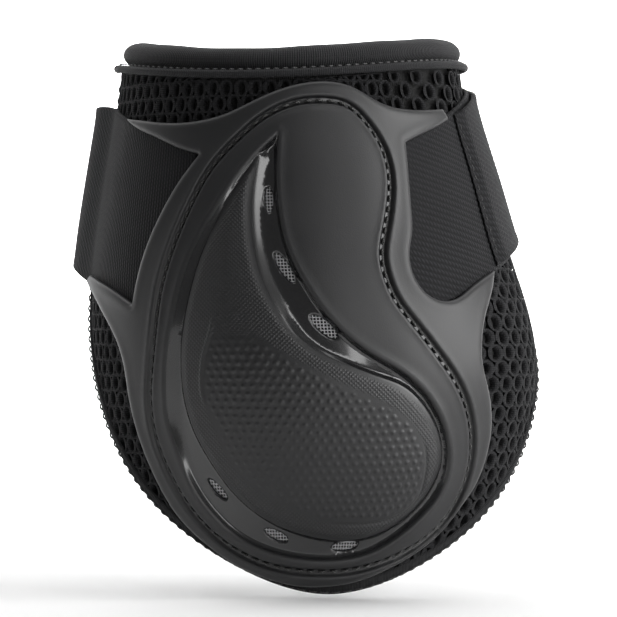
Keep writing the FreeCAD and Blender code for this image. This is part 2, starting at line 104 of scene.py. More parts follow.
TAB_END, TAB_TIP_LEVEL, TAB_HINGE, LEFT_HINGE = 60.0, 1.42, 111.0, -122.0

# outlines on the form: (degrees, height)
SHELL_SIDES = [
    [(-61, 54.8), (-50, 53.8), (-40, 52.9), (-30, 53), (-20, 54.9), (-10, 59), (0, 62.4), (10, 63.7),
     (19, 62.2), (28, 57.8), (36, 56.4), (52, 57)],
    [(52, 57), (54, 54)],
    [(54, 54), (46, 51.2), (38, 48.6), (33.5, 46.8)],
    [(33.5, 46.8), (32.2, 38), (31, 29), (29.7, 22), (28, 17.5), (27.3, 13.5), (28, 9), (30.3, 5.6),
     (34, 4), (38.5, 4.5), (44, 7.2), (56.5, 12.4)],
    [(56.5, 12.4), (51.5, 5.5), (47, -0.5), (44.3, -7), (44, -13), (46, -19), (48, -25), (49.2, -31),
     (49.2, -37), (47.5, -45), (44, -51), (39.5, -57.3), (33, -62.8), (24, -67.6), (15, -70.8), (5, -72.2),
     (-5, -71.9), (-14, -69.8), (-23, -66.2), (-31, -61.2), (-39, -53.8), (-45, -43), (-49, -32),
     (-51.5, -21), (-53, -12), (-56, -5.5), (-61, 0), (-68, 5.5), (-76, 9.8)],
    [(-76, 9.8), (-73, 11.5)],
    [(-73, 11.5), (-64, 9.3), (-56, 6.8), (-48.5, 3.5)],
    [(-48.5, 3.5), (-46, 13.2), (-43, 21), (-39, 28.8), (-35, 35.2), (-28, 43.8)],
    [(-28, 43.8), (-34, 45.3), (-43, 48.5), (-53, 51.6), (-61, 54.8)]]
# where straps run under the guard: the lines of their edges, and (heights, degrees) of the area they cover
RIGHT_POCKET = [(36, 62), (31.2, 50), (29.6, 42), (28.6, 34), (27.2, 26), (25, 18.5), (23.8, 12), (23.4, 5),
                (24.2, -0.5), (27.5, -3), (33, -3.2), (40, -2.2), (60, 2)]
LEFT_POCKET = [(-70, -7), (-56, -5.5), (-50, -5.3), (-45.5, -2), (-43, 7), (-40.2, 16), (-36.5, 26),
               (-31.5, 35.5), (-26.3, 43), (-27.5, 48), (-33, 51), (-42, 60)]
RIGHT_COVER = [-3, 5, 12, 26, 50, 62], [27, 23.4, 23.8, 27.2, 31.2, 36]
LEFT_COVER = [-5.4, 7, 16, 26, 43, 60], [-48, -43, -40.2, -36.5, -26.3, -42]
CHANNEL = [(10, 58.3), (17, 56.8), (22, 52), (25.5, 45), (26, 37), (24.2, 29), (21.8, 22), (20, 16),
           (20, 10), (21.5, 4), (25, -2), (30, -9.5), (36, -18), (40.5, -27), (43, -37), (42.5, -46),
           (39, -54), (32, -60.5), (22, -65.2), (13, -67.4), (3, -68), (-9, -66.9), (-19, -63.7),
           (-28, -58), (-35, -50), (-40, -40), (-43, -29), (-43, -18), (-41.2, -7), (-38.5, 7), (-35, 18),
           (-30, 29.5), (-23.5, 40.5), (-16, 48), (-8, 54), (1, 57.6)]
BASIN = [(-4, 49.5), (-5, 41.5), (-5.3, 34), (-5, 28), (-4, 20), (-2, 13), (1, 6), (4, 0.5), (7.5, -4),
         (11.5, -8), (16, -11.2), (21, -14.5), (26, -19), (31, -25.5), (34.5, -32.5), (36.2, -40),
         (35, -47), (31, -53), (25, -58.5), (17, -63), (7, -64.9), (-4, -64.4), (-14, -62), (-22, -57.8),
         (-28, -52), (-32.5, -45), (-35.5, -36), (-37.8, -27), (-38, -18), (-37, -9), (-35, -1), (-32.5, 8),
         (-29, 17), (-23, 27.5), (-17, 36.5), (-11, 43.5), (-4, 49.5)]
PAD = [(-10.5, 43), (-12.5, 34), (-13, 25), (-12.3, 16), (-10.5, 8), (-7, 0), (-2, -7), (6, -12),
       (14, -15.5), (21, -18.5), (27, -24), (31.5, -31), (33.5, -38), (31.5, -46), (26, -53), (17, -58),
       (6, -59), (-3, -57.3), (-12, -53.5), (-20, -47), (-26, -38.5), (-31, -28), (-33, -17), (-32.5, -6),
       (-30, 5), (-26, 17), (-20, 29), (-14, 38.5), (-10.5, 43)]
STUDDED = [(-23, 0), (-24, -4), (-26, -9.5), (-27, -15), (-27, -20), (-24, -29.5), (-20, -39), (-12, -46.5),
           (-4, -51), (4, -54), (11, -54.5), (18, -54), (24, -52), (28, -48.5), (29, -43), (28, -35),
           (24, -28), (18, -23), (8, -18), (-4, -11), (-12, -5), (-18, 0.5), (-23, 0)]
# each vent: centre degrees, centre height, length, width, slope of its long axis
UPPER_VENTS = [(-8, 31.5, 7.2, 2.4, 90), (-5, 13.2, 9.2, 2.8, -62), (3, -2.5, 8.4, 3.2, -45)]
LOWER_VENTS = [(-26, -46.2, 7.6, 2.4, -45), (-10, -58.6, 7.8, 2.7, -22), (10, -61.6, 8.4, 2.7, 6)]


def natural_spline(stops, values):
    """The natural cubic spline through the values: each span's cubic takes its bends from one linear
    system."""
    stops, values = np.array(stops, float), np.array(values, float)
    gap, rise = np.diff(stops), np.diff(values)
    inner = np.arange(1, len(stops) - 1)
    system, pull = np.eye(len(stops)), np.zeros(len(stops))
    system[inner, inner - 1], system[inner, inner + 1] = gap[:-1], gap[1:]
    system[inner, inner] = 2 * (gap[:-1] + gap[1:])
    pull[inner] = 6 * (rise[1:] / gap[1:] - rise[:-1] / gap[:-1])
    bend = np.linalg.solve(system, pull)

    def value(x):
        x = np.asarray(x, float)
        i = np.clip(np.searchsorted(stops, x, side="right") - 1, 0, len(stops) - 2)
        right = (x - stops[i]) / gap[i]
        left = 1 - right
        curl = (left ** 3 - left) * bend[i] + (right ** 3 - right) * bend[i + 1]
        return left * values[i] + right * values[i + 1] + curl * gap[i] ** 2 / 6

    return value


half_width = natural_spline(LEVELS, HALF_WIDTHS)
half_depth = natural_spline(LEVELS, HALF_DEPTHS)
centre_x = natural_spline(LEVELS, CENTRES_X)


def ease(value, start, end):
    """0 before start, 1 after end, and 3t^2 - 2t^3 between them."""
    t = np.clip((np.asarray(value, float) - start) / (end - start), 0, 1)
    return t * t * (3 - 2 * t)


def ring(angle, height):
    """A point of the form: an ellipse at each height, whose depth shrinks towards the front."""
    angle, height = np.broadcast_arrays(np.asarray(angle, float), np.asarray(height, float))
    turn = np.radians(angle)
    flat = 1 - (1 - FRONT_DEPTH_SHARE) * (1 - np.cos(turn)) / 2
    x = centre_x(height) + half_width(height) * np.sin(turn)
    return np.stack([x, -half_depth(height) * flat * np.cos(turn), height], -1)


def outward(angle, height):
    """The form's unit normal: its slope round the leg crossed with its slope up the leg."""
    step = 0.5
    around = ring(angle + step, height) - ring(angle - step, height)
    up = ring(angle, height + step) - ring(angle, height - step)
    normal = np.cross(around, up)
    return normal / np.linalg.norm(normal, axis=-1, keepdims=True)


def leg(angle, height, level):
    """A point at a level above the form, along its normal."""
    angle, height, level = np.broadcast_arrays(*(np.asarray(v, float) for v in (angle, height, level)))
    return ring(angle, height) + outward(angle, height) * level[..., None]


def piping_height(angle):
    """The liner's top seam: low at the rear, higher by the squared sine of the angle from there."""
    lean = np.radians(np.minimum(90, np.abs(np.asarray(angle, float) - PIPING_LOW_ANGLE)))
    return PIPING_LOW + PIPING_RISE * np.sin(lean) ** 2


# ---------------------------------------------------------------- flat lines and regions
def flat(points):
    """(degrees, height) points as (across, height) in millimetres."""
    return np.array(points, float) * [FLAT, 1]


def smooth_line(points, spacing, closed=False):
    """Evenly spaced points on the cubic spline through the points, by distance along them."""
    way = np.array(points, float)
    lap = 5 if closed else 0
    if closed:
        way = np.vstack([way[-lap:], way, way[:lap + 1]])
    stops = np.r_[0, np.cumsum(np.linalg.norm(np.diff(way, axis=0), axis=1))]
    fine = np.linspace(stops[lap], stops[-1 - lap], 3000)
    line = np.stack([natural_spline(stops, column)(fine) for column in way.T], -1)
    run = np.r_[0, np.cumsum(np.linalg.norm(np.diff(line, axis=0), axis=1))]
    wanted = np.linspace(0, run[-1], max(2, round(run[-1] / spacing)) + 1)
    line = np.stack([np.interp(wanted, run, column) for column in line.T], -1)
    return line[:-1] if closed else line


def blocks(points):
    """The points in parts small enough for a whole table of distances to a line."""
    return np.array_split(points, max(1, len(points) // 700))


def distance(points, line, closed=True):
    """Each point's distance to the nearest straight run of the line."""
    start = line if closed else line[:-1]
    run = (np.roll(line, -1, 0) if closed else line[1:]) - start
    length = (run * run).sum(1)

    def near(part):
        reach = part @ run.T - (start * run).sum(1)
        share = np.clip(reach / length, 0, 1)
        square = (part * part).sum(1)[:, None] - 2 * part @ start.T + (start * start).sum(1)
        return np.sqrt(np.maximum(square - share * (2 * reach - share * length), 0).min(1))

    return np.concatenate([near(part) for part in blocks(points)])


def inside(points, line):
    """Whether each point lies in the loop: a ray to +across crosses the loop an odd number of times."""
    start, end = line, np.roll(line, -1, 0)

    def hit(part):
        x, y = part[:, :1], part[:, 1:]
        spans = (start[:, 1] > y) != (end[:, 1] > y)
        rise = np.where(end[:, 1] == start[:, 1], 1e-9, end[:, 1] - start[:, 1])
        reach = start[:, 0] + (y - start[:, 1]) * (end[:, 0] - start[:, 0]) / rise
        return (spans & (x < reach)).sum(1) % 2 == 1

    return np.concatenate([hit(part) for part in blocks(points)])


def depth_in(points, line):
    """Distance to a closed line, positive inside it."""
    return distance(points, line) * np.where(inside(points, line), 1, -1)


def hexagonal(low, high, pitch):
    """Points of a hexagonal lattice in a box."""
    across = np.arange(low[0], high[0], pitch)
    up = np.arange(low[1], high[1], pitch * math.sqrt(3) / 2)
    x, y = np.meshgrid(across, up)
    return np.stack([x + np.where(np.arange(len(up)) % 2, pitch / 2, 0)[:, None], y], -1).reshape(-1, 2)


def beside(line, away):
    """A closed line moved sideways by a distance, without the points that fall nearer to it at corners."""
    run = np.roll(line, -1, 0) - np.roll(line, 1, 0)
    side = np.stack([-run[:, 1], run[:, 0]], -1) / np.linalg.norm(run, axis=1, keepdims=True)
    moved = line + side * away
    return moved[np.abs(distance(moved, line) - abs(away)) < 0.06]


def thinned(points, cell):
    """The points without those that share a small square with an earlier one."""
    keys = np.round(points / cell).astype(int)
    return points[np.sort(np.unique(keys, axis=0, return_index=True)[1])]


def triangles(loops, points):
    """Delaunay triangles over the points whose edges hold the closed loops: (places, corner triples)."""
    starts = np.cumsum([0] + [len(loop) for loop in loops])
    edges = [(int(a + i), int(a + (i + 1) % (b - a)))
             for a, b in zip(starts, starts[1:]) for i in range(b - a)]
    everything = np.vstack([*loops, points])
    places, _, faces, *_ = delaunay_2d_cdt([tuple(p) for p in everything.tolist()], edges, [], 0, 1e-6)
    return np.array([tuple(p) for p in places]), np.array(faces)


# ---------------------------------------------------------------- meshes
def strip(rows, columns, closed=False):
    """Quads of a grid of rows x columns; where it is closed, the last column joins the first."""
    index = np.arange(rows * columns).reshape(rows, columns)
    if closed:
        index = np.hstack([index, index[:, :1]])
    a, b, c, d = index[:-1, :-1], index[1:, :-1], index[1:, 1:], index[:-1, 1:]
    return np.stack([a, b, c, d], -1).reshape(-1, 4)


def build(name, points, faces, cloth=None, marks=None, weld=False):
    """A mesh object from points in millimetres, with its cloth map in millimetres and its marks on
    points."""
    mesh = bpy.data.meshes.new(name)
    points = np.asarray(points, float).reshape(-1, 3)
    groups = [np.asarray(f) for f in (faces if isinstance(faces, list) else [faces])]
    mesh.vertices.add(len(points))
    mesh.vertices.foreach_set("co", (points * 0.001).astype(np.float32).ravel())
    corners = np.concatenate([g.ravel() for g in groups]).astype(np.int32)
    sizes = np.concatenate([np.full(len(g), g.shape[1]) for g in groups])
    mesh.loops.add(len(corners))
    mesh.loops.foreach_set("vertex_index", corners)
    mesh.polygons.add(len(sizes))
    mesh.polygons.foreach_set("loop_start", np.r_[0, np.cumsum(sizes)[:-1]].astype(np.int32))
    mesh.update(calc_edges=True)
    if cloth is not None:
        layer = mesh.uv_layers.new(name="cloth")
        spread = np.asarray(cloth, float).reshape(-1, 2)[corners]
        layer.data.foreach_set("uv", spread.astype(np.float32).ravel())
    for mark, values in (marks or {}).items():
        layer = mesh.attributes.new(mark, "FLOAT", "POINT")
        layer.data.foreach_set("value", np.asarray(values, np.float32).ravel())
    mesh.validate()
    mesh.polygons.foreach_set("use_smooth", np.ones(len(mesh.polygons), bool))
    item = bpy.data.objects.new(name, mesh)
    bpy.context.scene.collection.objects.link(item)
    if weld:
        shape = bmesh.new()
        shape.from_mesh(mesh)
        bmesh.ops.remove_doubles(shape, verts=shape.verts, dist=2e-5)
        shape.to_mesh(mesh)
        shape.free()
    return item


def join(parts):
    """Several (points, faces, cloth, marks) sets as one, with their faces counted on."""
    start, points, faces, cloth, marks = 0, [], [], [], []
    for some, quads, flat_places, values in parts:
        points.append(np.reshape(some, (-1, 3)))
        faces.append(np.asarray(quads) + start)
        cloth.append(np.reshape(flat_places, (-1, 2)))
        marks.append(values)
        start += len(points[-1])
    return np.vstack(points), faces, np.vstack(cloth), np.concatenate(marks)


# ---------------------------------------------------------------- shader maths
class Wire:
    """A node's output that can stand in sums: each operator adds one Math node."""

    def __init__(self, finish, socket):
        self.finish, self.socket = finish, socket

    def math(self, operation, *values):
        return self.finish.node("ShaderNodeMath", {"operation": operation}, dict(enumerate(values)))

    def __add__(self, other):
        return self.math("ADD", self, other)

    def __sub__(self, other):
        return self.math("SUBTRACT", self, other)

    def __rsub__(self, other):
        return self.math("SUBTRACT", other, self)

    def __mul__(self, other):
        return self.math("MULTIPLY", self, other)

    def sine(self):
        return self.math("SINE", self)

    def most(self, other):
        return self.math("MAXIMUM", self, other)

    def between(self, low, high):
        return self.finish.node("ShaderNodeMapRange", {"interpolation_type": "SMOOTHSTEP"},
                                {0: self, 1: low, 2: high})

    __radd__, __rmul__ = __add__, __mul__


class Finish:
    """A material: constants on its shader's sockets, and the nodes that vary its colour, gloss and
    relief."""

    def __init__(self, name, **constants):
        self.material = bpy.data.materials.new(name)
        self.material.use_nodes = True
        self.tree = self.material.node_tree
        self.shader = self.tree.nodes["Principled BSDF"]
        for socket, value in constants.items():
            self.shader.inputs[socket.replace("_", " ")].default_value = value

    def node(self, kind, settings=None, values=None, output=0):
        item = self.tree.nodes.new(kind)
        for setting, value in (settings or {}).items():
            setattr(item, setting, value)
        for socket, value in (values or {}).items():
            self.feed(item.inputs[socket], value)
        return Wire(self, item.outputs[output])

    def feed(self, socket, value):
        if isinstance(value, Wire):
            self.tree.links.new(value.socket, socket)
        else:
            socket.default_value = value

    def set(self, socket, value):
        self.feed(self.shader.inputs[socket], value)

    def tint(self, factor, first, second):
        """A colour between two, by a factor."""
        values = {0: factor, 6: (*first, 1), 7: (*second, 1)}
        return self.node("ShaderNodeMix", {"data_type": "RGBA"}, values, 2)

    def relief(self, height, depth, strength):
        """A bump from a height of 0 to 1, so many millimetres deep."""
        values = {"Strength": strength, "Distance": depth * 0.001, "Height": height}
        self.set("Normal", self.node("ShaderNodeBump", {}, values))

    def mark(self, name):
        return self.node("ShaderNodeAttribute", {"attribute_name": name}, {}, "Fac")

    def cloth(self):
        """The piece's own flat place in millimetres: (along, across)."""
        place = self.node("ShaderNodeUVMap", {"uv_map": "cloth"})
        return [self.node("ShaderNodeSeparateXYZ", {}, {0: place}, i) for i in (0, 1)]

    def speck(self, grain, detail=3.0):
        """Cloudy noise whose grains are so many millimetres."""
        place = self.node("ShaderNodeTexCoord", {}, {}, "Object")
        return self.node("ShaderNodeTexNoise", {}, {"Vector": place, "Scale": 1000 / grain, "Detail": detail})

    def done(self, shade, dark, light, roughness, height, depth, strength=1.0):
        """Sets the colour between dark and light, the roughness and the relief, and gives the material."""
        self.set("Base Color", self.tint(shade, dark, light))
        self.set("Roughness", roughness)
        self.relief(height, depth, strength)
        return self.material


def wave(phase, pitch):
    """A sine wave of that pitch, from 0 to 1."""
    return (phase * (2 * math.pi / pitch)).sine() * 0.5 + 0.5


def moulded_guard():
    """Satin moulding: fine grain, glossy in the sunk parts, diamond relief on the pad, and a painted
    highlight that makes the crests of edges and the stud tops pale."""
    finish = Finish("moulded_guard", Specular_IOR_Level=0.5, Coat_Roughness=0.09, Coat_IOR=1.6)
    gloss, diamond, crest_highlight = finish.mark("gloss"), finish.mark("diamond"), finish.mark("crest_highlight")
    along, up = finish.cloth()
    cloud = finish.speck(14, 4)
    grain = finish.speck(0.32, 2)
    lattice = wave(along + up, 1.15) * wave(along - up, 1.15)
    finish.set("Coat Weight", gloss * 0.5)
    # the colour is lifted by the painted highlight on edge crests and stud tops
    return finish.done((cloud * 0.45 + crest_highlight * 0.6) * (1 - gloss * 0.8), (0.0045, 0.0045, 0.005),
                       (0.016, 0.016, 0.0172), (0.4 + cloud * 0.1 - gloss * 0.24).most(0.14),
                       grain * (1 - gloss) * 0.22 + lattice * diamond * 0.9, 0.16, 0.8)


def silver_net():
    finish = Finish("silver_net", Specular_IOR_Level=0.6)
    speck = finish.speck(0.5, 2)
    finish.set("Metallic", 0.35 + speck * 0.3)
    return finish.done(speck, (0.25, 0.25, 0.26), (0.6, 0.6, 0.61), 0.3 + speck * 0.2, speck, 0.05)


def sewing_thread(name, dark, light):
    """Twisted thread: slanting waves round each stitch."""
    finish = Finish(name, Sheen_Weight=0.03, Sheen_Roughness=0.4)
    along, around = finish.cloth()
    twist = wave(along + around * 0.7, 0.62)
    return finish.done(twist * 0.8 + finish.speck(0.8) * 0.2, dark, light, 0.62 - twist * 0.16, twist, 0.08)


def knit(name, dark, light, wale, course, depth):
    """Knitted cloth: upright wales crossed by courses, with stray fibres."""
    finish = Finish(name, Sheen_Weight=0.03, Sheen_Roughness=0.45, Specular_IOR_Level=0.3)
    along, up = finish.cloth()
    fibre = finish.speck(0.45, 4)
    cloud = finish.speck(11, 3)
    loops = wave(along, wale) * (0.55 + 0.45 * wave(up + wave(along, wale) * course * 0.5, course))
    shade = loops * 0.62 + fibre * 0.3 + cloud * 0.12
    return finish.done(shade, dark, light, 0.72 + fibre * 0.2, loops + fibre * 0.3, depth)


def open_knit():
    """Yarn of the open mesh: fine stitches that follow no edge, fuzzy and matt."""
    finish = Finish("open_knit", Sheen_Weight=0.03, Sheen_Roughness=0.5, Specular_IOR_Level=0.15)
    yarn = finish.speck(0.42, 3)
    along, up = finish.cloth()
    courses = wave(up + yarn * 0.35, 0.55) * wave(along + yarn * 0.35, 0.5)
    depth = finish.mark("depth")
    # painted shade: the yarn is darker down the holes' walls, by the depth mark
    shade = (yarn * 0.55 + courses * 0.55) * (1 - depth * 0.85)
    return finish.done(shade, (0.0025, 0.0025, 0.0027), (0.026, 0.026, 0.028), 0.8 + yarn * 0.15,
                       yarn * 0.6 + courses * 0.6, 0.2)


def woven_elastic():
    """Plain-woven elastic: fine upright ribs and weft dots, a denser selvedge."""
    finish = Finish("woven_elastic", Sheen_Weight=0.03, Sheen_Roughness=0.4, Specular_IOR_Level=0.15)
    along, across = finish.cloth()
    fibre, cloud = finish.speck(0.4, 3), finish.speck(16, 3)
    weave = wave(along + wave(across, 1.5) * 0.12, 1.04) * (0.5 + 0.5 * wave(across + along * 0.5, 1.1))
    shade = weave * 0.6 + fibre * 0.25 + cloud * 0.2
    return finish.done(shade, (0.002, 0.002, 0.0023), (0.014, 0.014, 0.0155), 0.66 + fibre * 0.2,
                       weave + fibre * 0.3, 0.16)


def ribbed_elastic():
    """Ribbed elastic with a looped face: its ribs are in the shape; grains of yarn along them are here."""
    finish = Finish("ribbed_elastic", Sheen_Weight=0.03, Sheen_Roughness=0.4, Specular_IOR_Level=0.15)
    along, across = finish.cloth()
    rib = finish.mark("rib")
    fibre, cloud = finish.speck(0.38, 3), finish.speck(16, 3)
    grain = wave(along + across * 0.35, 0.95)
    # the colour follows the ribs: partly the yarn's own pattern, partly a painted highlight on the rib
    # crests; the selvedge and inner face, with no rib mark, come out darker
    shade = rib * (0.45 + grain * 0.3) + fibre * 0.22 + cloud * 0.15
    return finish.done(shade, (0.0015, 0.0015, 0.0017), (0.02, 0.02, 0.022), 0.64 + fibre * 0.22,
                       grain * rib + fibre * 0.5, 0.18)


def brushed_lining():
    finish = Finish("brushed_lining", Sheen_Weight=0.08, Sheen_Roughness=0.5, Specular_IOR_Level=0.15)
    nap, cloud = finish.speck(0.7, 5), finish.speck(9, 3)
    return finish.done(nap * 0.6 + cloud * 0.4, (0.006, 0.006, 0.0065), (0.03, 0.03, 0.032),
                       0.82 + nap * 0.15, nap + cloud * 0.5, 0.35)


def foam_core(name, dark, light, cell):
    finish = Finish(name, Specular_IOR_Level=0.3)
    cells = finish.speck(cell, 2)
    return finish.done(cells, dark, light, 0.8 + cells * 0.15, cells, 0.3)


def hook_nylon():
    finish = Finish("hook_nylon", Specular_IOR_Level=0.5)
    cloud = finish.speck(2.5, 3)
    return finish.done(cloud, (0.016, 0.016, 0.017), (0.04, 0.04, 0.043), 0.36 + cloud * 0.2, cloud, 0.05)


GUARD = moulded_guard()
NET = silver_net()
GUARD_THREAD = sewing_thread("guard_thread", (0.006, 0.006, 0.006), (0.06, 0.06, 0.058))
EDGE_THREAD = sewing_thread("edge_thread", (0.02, 0.02, 0.02), (0.17, 0.17, 0.17))
OPEN_KNIT = open_knit()
MESH_GROUND = knit("mesh_ground", (0.0015, 0.0015, 0.0015), (0.009, 0.009, 0.009), 0.7, 0.8, 0.2)
COLLAR_KNIT = knit("collar_knit", (0.003, 0.003, 0.0033), (0.02, 0.02, 0.022), 0.66, 0.75, 0.2)
PIPING_KNIT = knit("piping_knit", (0.003, 0.003, 0.0033), (0.018, 0.018, 0.02), 0.6, 0.7, 0.14)
BINDING_TAPE = knit("binding_tape", (0.0025, 0.0025, 0.0028), (0.016, 0.016, 0.0175), 0.55, 2.1, 0.2)
ELASTIC = woven_elastic()
RIBBED = ribbed_elastic()
LINING = brushed_lining()
NYLON = hook_nylon()
IMPACT_FOAM = foam_core("impact_foam", (0.006, 0.006, 0.0065), (0.02, 0.02, 0.0215), 0.9)
NEOPRENE = foam_core("neoprene", (0.02, 0.02, 0.021), (0.05, 0.05, 0.053), 0.6)


def place(item, material, slot, *nodes, body="root"):
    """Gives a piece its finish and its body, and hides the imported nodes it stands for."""
    item.data.materials.append(material)
    if body:
        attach(item, body)
    if nodes:
        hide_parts(*nodes)
    return item


# ---------------------------------------------------------------- guard
def vent_outline(angle, height, length, width, slope, spacing=0.45):
    """An oval slot: an ellipse turned by its slope."""
    turn = np.linspace(0, 2 * math.pi, round((length + width) / spacing * 1.5), endpoint=False)
    lean = math.radians(slope)
    along, across = length / 2 * np.cos(turn), width / 2 * np.sin(turn)
    return np.stack([angle * FLAT + along * math.cos(lean) - across * math.sin(lean),
                     height + along * math.sin(lean) + across * math.cos(lean)], -1)


shell_line = np.vstack([smooth_line(flat(side), 0.7)[:-1] for side in SHELL_SIDES])[::-1]
channel_line = smooth_line(flat(CHANNEL), 0.7, closed=True)
basin_line = smooth_line(flat(BASIN), 0.6)[:-1]
pad_line = smooth_line(flat(PAD), 0.6)[:-1]
studded_line = smooth_line(flat(STUDDED), 0.6)[:-1]
vent_lines = [vent_outline(*vent) for vent in UPPER_VENTS + LOWER_VENTS]


def studs(places):
    """Low round studs on a hexagonal lattice: 1 at a stud's middle, 0 between them."""
    pitch = np.array([STUD_PITCH, STUD_PITCH * math.sqrt(3)])
    gaps = [places / pitch + shift - np.round(places / pitch + shift) for shift in (0.0, 0.5)]
    near = np.minimum(*[np.linalg.norm(gap * pitch, axis=1) for gap in gaps])
    return 1 - ease(near, 0.3, 0.72)


def bevel(share):
    """A flat slope from 0 to 1 with rounded ends: three parts straight to one part eased."""
    return 0.75 * np.clip(share, 0, 1) + 0.25 * ease(share, 0, 1)


def guard_face(places):
    """The guard's outer height and its marks.

    The height is the face, less a rounded rim, less a round-bottomed sewing groove; in the basin it eases
    down to the valley, and the pad rises from the valley by its own wall and a dome that grows with
    distance from its edge. Marks: gloss in the valley and walls, diamond relief on the pad outside the
    studs, and a painted highlight on the crests of edges and on the stud tops."""
    across, up = places.T
    rim, groove = depth_in(places, shell_line), distance(places, channel_line)
    basin, pad, studded = (depth_in(places, line) for line in (basin_line, pad_line, studded_line))
    vent = np.min([distance(places, line) for line in vent_lines], axis=0)
    angle = across / FLAT
    left = ease(-angle, 8, 24) * ease(up, -50, -20)
    basin_width = 1.2 + 2.1 * left
    pad_width = 1.3 + 2.2 * ease(up, -14, 6) * ease(angle, -22, -13)
    fall = 1 - bevel(basin / basin_width)
    climb = bevel(1 + pad / pad_width)
    valley = VALLEY + np.maximum((SHELL_FACE - VALLEY) * fall, (PAD_EDGE - VALLEY) * climb)
    room = np.maximum(pad, 0)
    dome = PAD_EDGE + PAD_CROWN * (1 - np.exp(-room / 11)) + 0.5 * ease(pad, 0, 2.2)
    stud_zone = ease(studded, 0.9, 1.8) * ease(-up, 3, 9)
    bumps = studs(places) * stud_zone
    dome = dome + STUD_HEIGHT * bumps
    crease = np.exp(-(studded / 0.42) ** 2) * (pad > 0.8)
    raised = ease(-angle, 20, 23) * ease(up, -24, -19) * ease(-up, -2, 3)
    sunk = ease(angle, 2, 12) * ease(-up, 30, 38)
    dome = dome + crease * (0.55 * raised - 0.35 * sunk)
    height = np.where(pad > 0, dome, np.where(basin > 0, valley, SHELL_FACE))
    lip = 0.16 * np.exp(-((groove - 1.75) / 0.45) ** 2)
    height = height - GROOVE * (1 - ease(groove, 0.62, 1.3)) + lip
    height = height + 0.22 * np.exp(-((basin + 0.7) / 0.6) ** 2) * (pad <= 0)
    bend = np.clip(rim / RIM_RADIUS, 0, 1)
    height = height - RIM_RADIUS * (1 - np.sqrt(1 - (1 - bend) ** 2)) * 0.85
    height = height + 0.12 * np.exp(-((rim - 2.0) / 0.8) ** 2) - 0.3 * (1 - ease(vent, 0, 0.5)) * (pad <= 0)
    on_pad = ease(pad, -0.6, 0.5)
    gloss = np.clip(ease(basin, 0.1, 0.5) * (1 - on_pad) + (1 - ease(groove, 0.5, 1.2)) * 0.4, 0, 1)
    diamond = ease(pad, 0.8, 1.8) * (1 - ease(studded, -0.5, 0.5) * ease(-up, 2, 8))
    # painted highlight: lighter along the rim's crest, the groove's lip, the basin's lip and the stud tops
    crest_highlight = np.exp(-((rim - 0.35) / 0.35) ** 2) + 0.7 * np.exp(-((groove - 1.55) / 0.25) ** 2) \
        + 0.7 * np.exp(-((basin + 0.25) / 0.3) ** 2) + 0.35 * bumps
    return height, {"gloss": gloss, "diamond": diamond, "crest_highlight": np.clip(crest_highlight, 0, 1)}


def guard_places():
    """Flat places for the guard's face: lines beside every edge, and lattices that are finer on the pad."""
    low, high = shell_line.min(0), shell_line.max(0)
    lines = [beside(shell_line, away) for away in (0.14, 0.4, 0.75, 1.15, 1.6)]
    lines += [beside(channel_line, away) for away in
              (0.01, -0.5, 0.5, -0.75, 0.75, -1.0, 1.0, -1.25, 1.25, -1.6, 1.6, -2.1, 2.1)]
    lines += [beside(basin_line, away) for away in (0.01, -0.3, 0.3, -0.6, 0.6, -0.95, -1.3, -1.9, -2.5, 1.1)]
    lines += [beside(pad_line, away) for away in (0.01, -0.35, 0.35, -0.75, 0.75, -1.2, 1.2, 1.8, 2.5, 3.3)]
    lines += [beside(line, -away) for line in vent_lines for away in (0.16, 0.38, 0.7)]
    edges = thinned(np.vstack(lines), 0.2)
    coarse = hexagonal(low, high, 1.0)
    edge_lines = (shell_line, channel_line, basin_line, pad_line)
    near = np.min([distance(coarse, line) for line in edge_lines], axis=0)
    coarse = coarse[(near > 1.7) & (depth_in(coarse, pad_line) < 0)]
    fine = hexagonal(pad_line.min(0), pad_line.max(0), 0.41)
    fine = fine[depth_in(fine, pad_line) > 1.4]
    points = np.vstack([edges, coarse, fine])
    points = points[depth_in(points, shell_line) > 0.1]
    clear = np.min([depth_in(points, line) * -1 for line in vent_lines], axis=0)
    return points[clear > 0.1]


def within(loops, places, corners):
    """Triangles whose middles are in the first loop and in none of the others."""
    middle = places[corners].mean(1)
    kept = inside(middle, loops[0])
    for loop in loops[1:]:
        kept &= ~inside(middle, loop)
    return corners[kept]


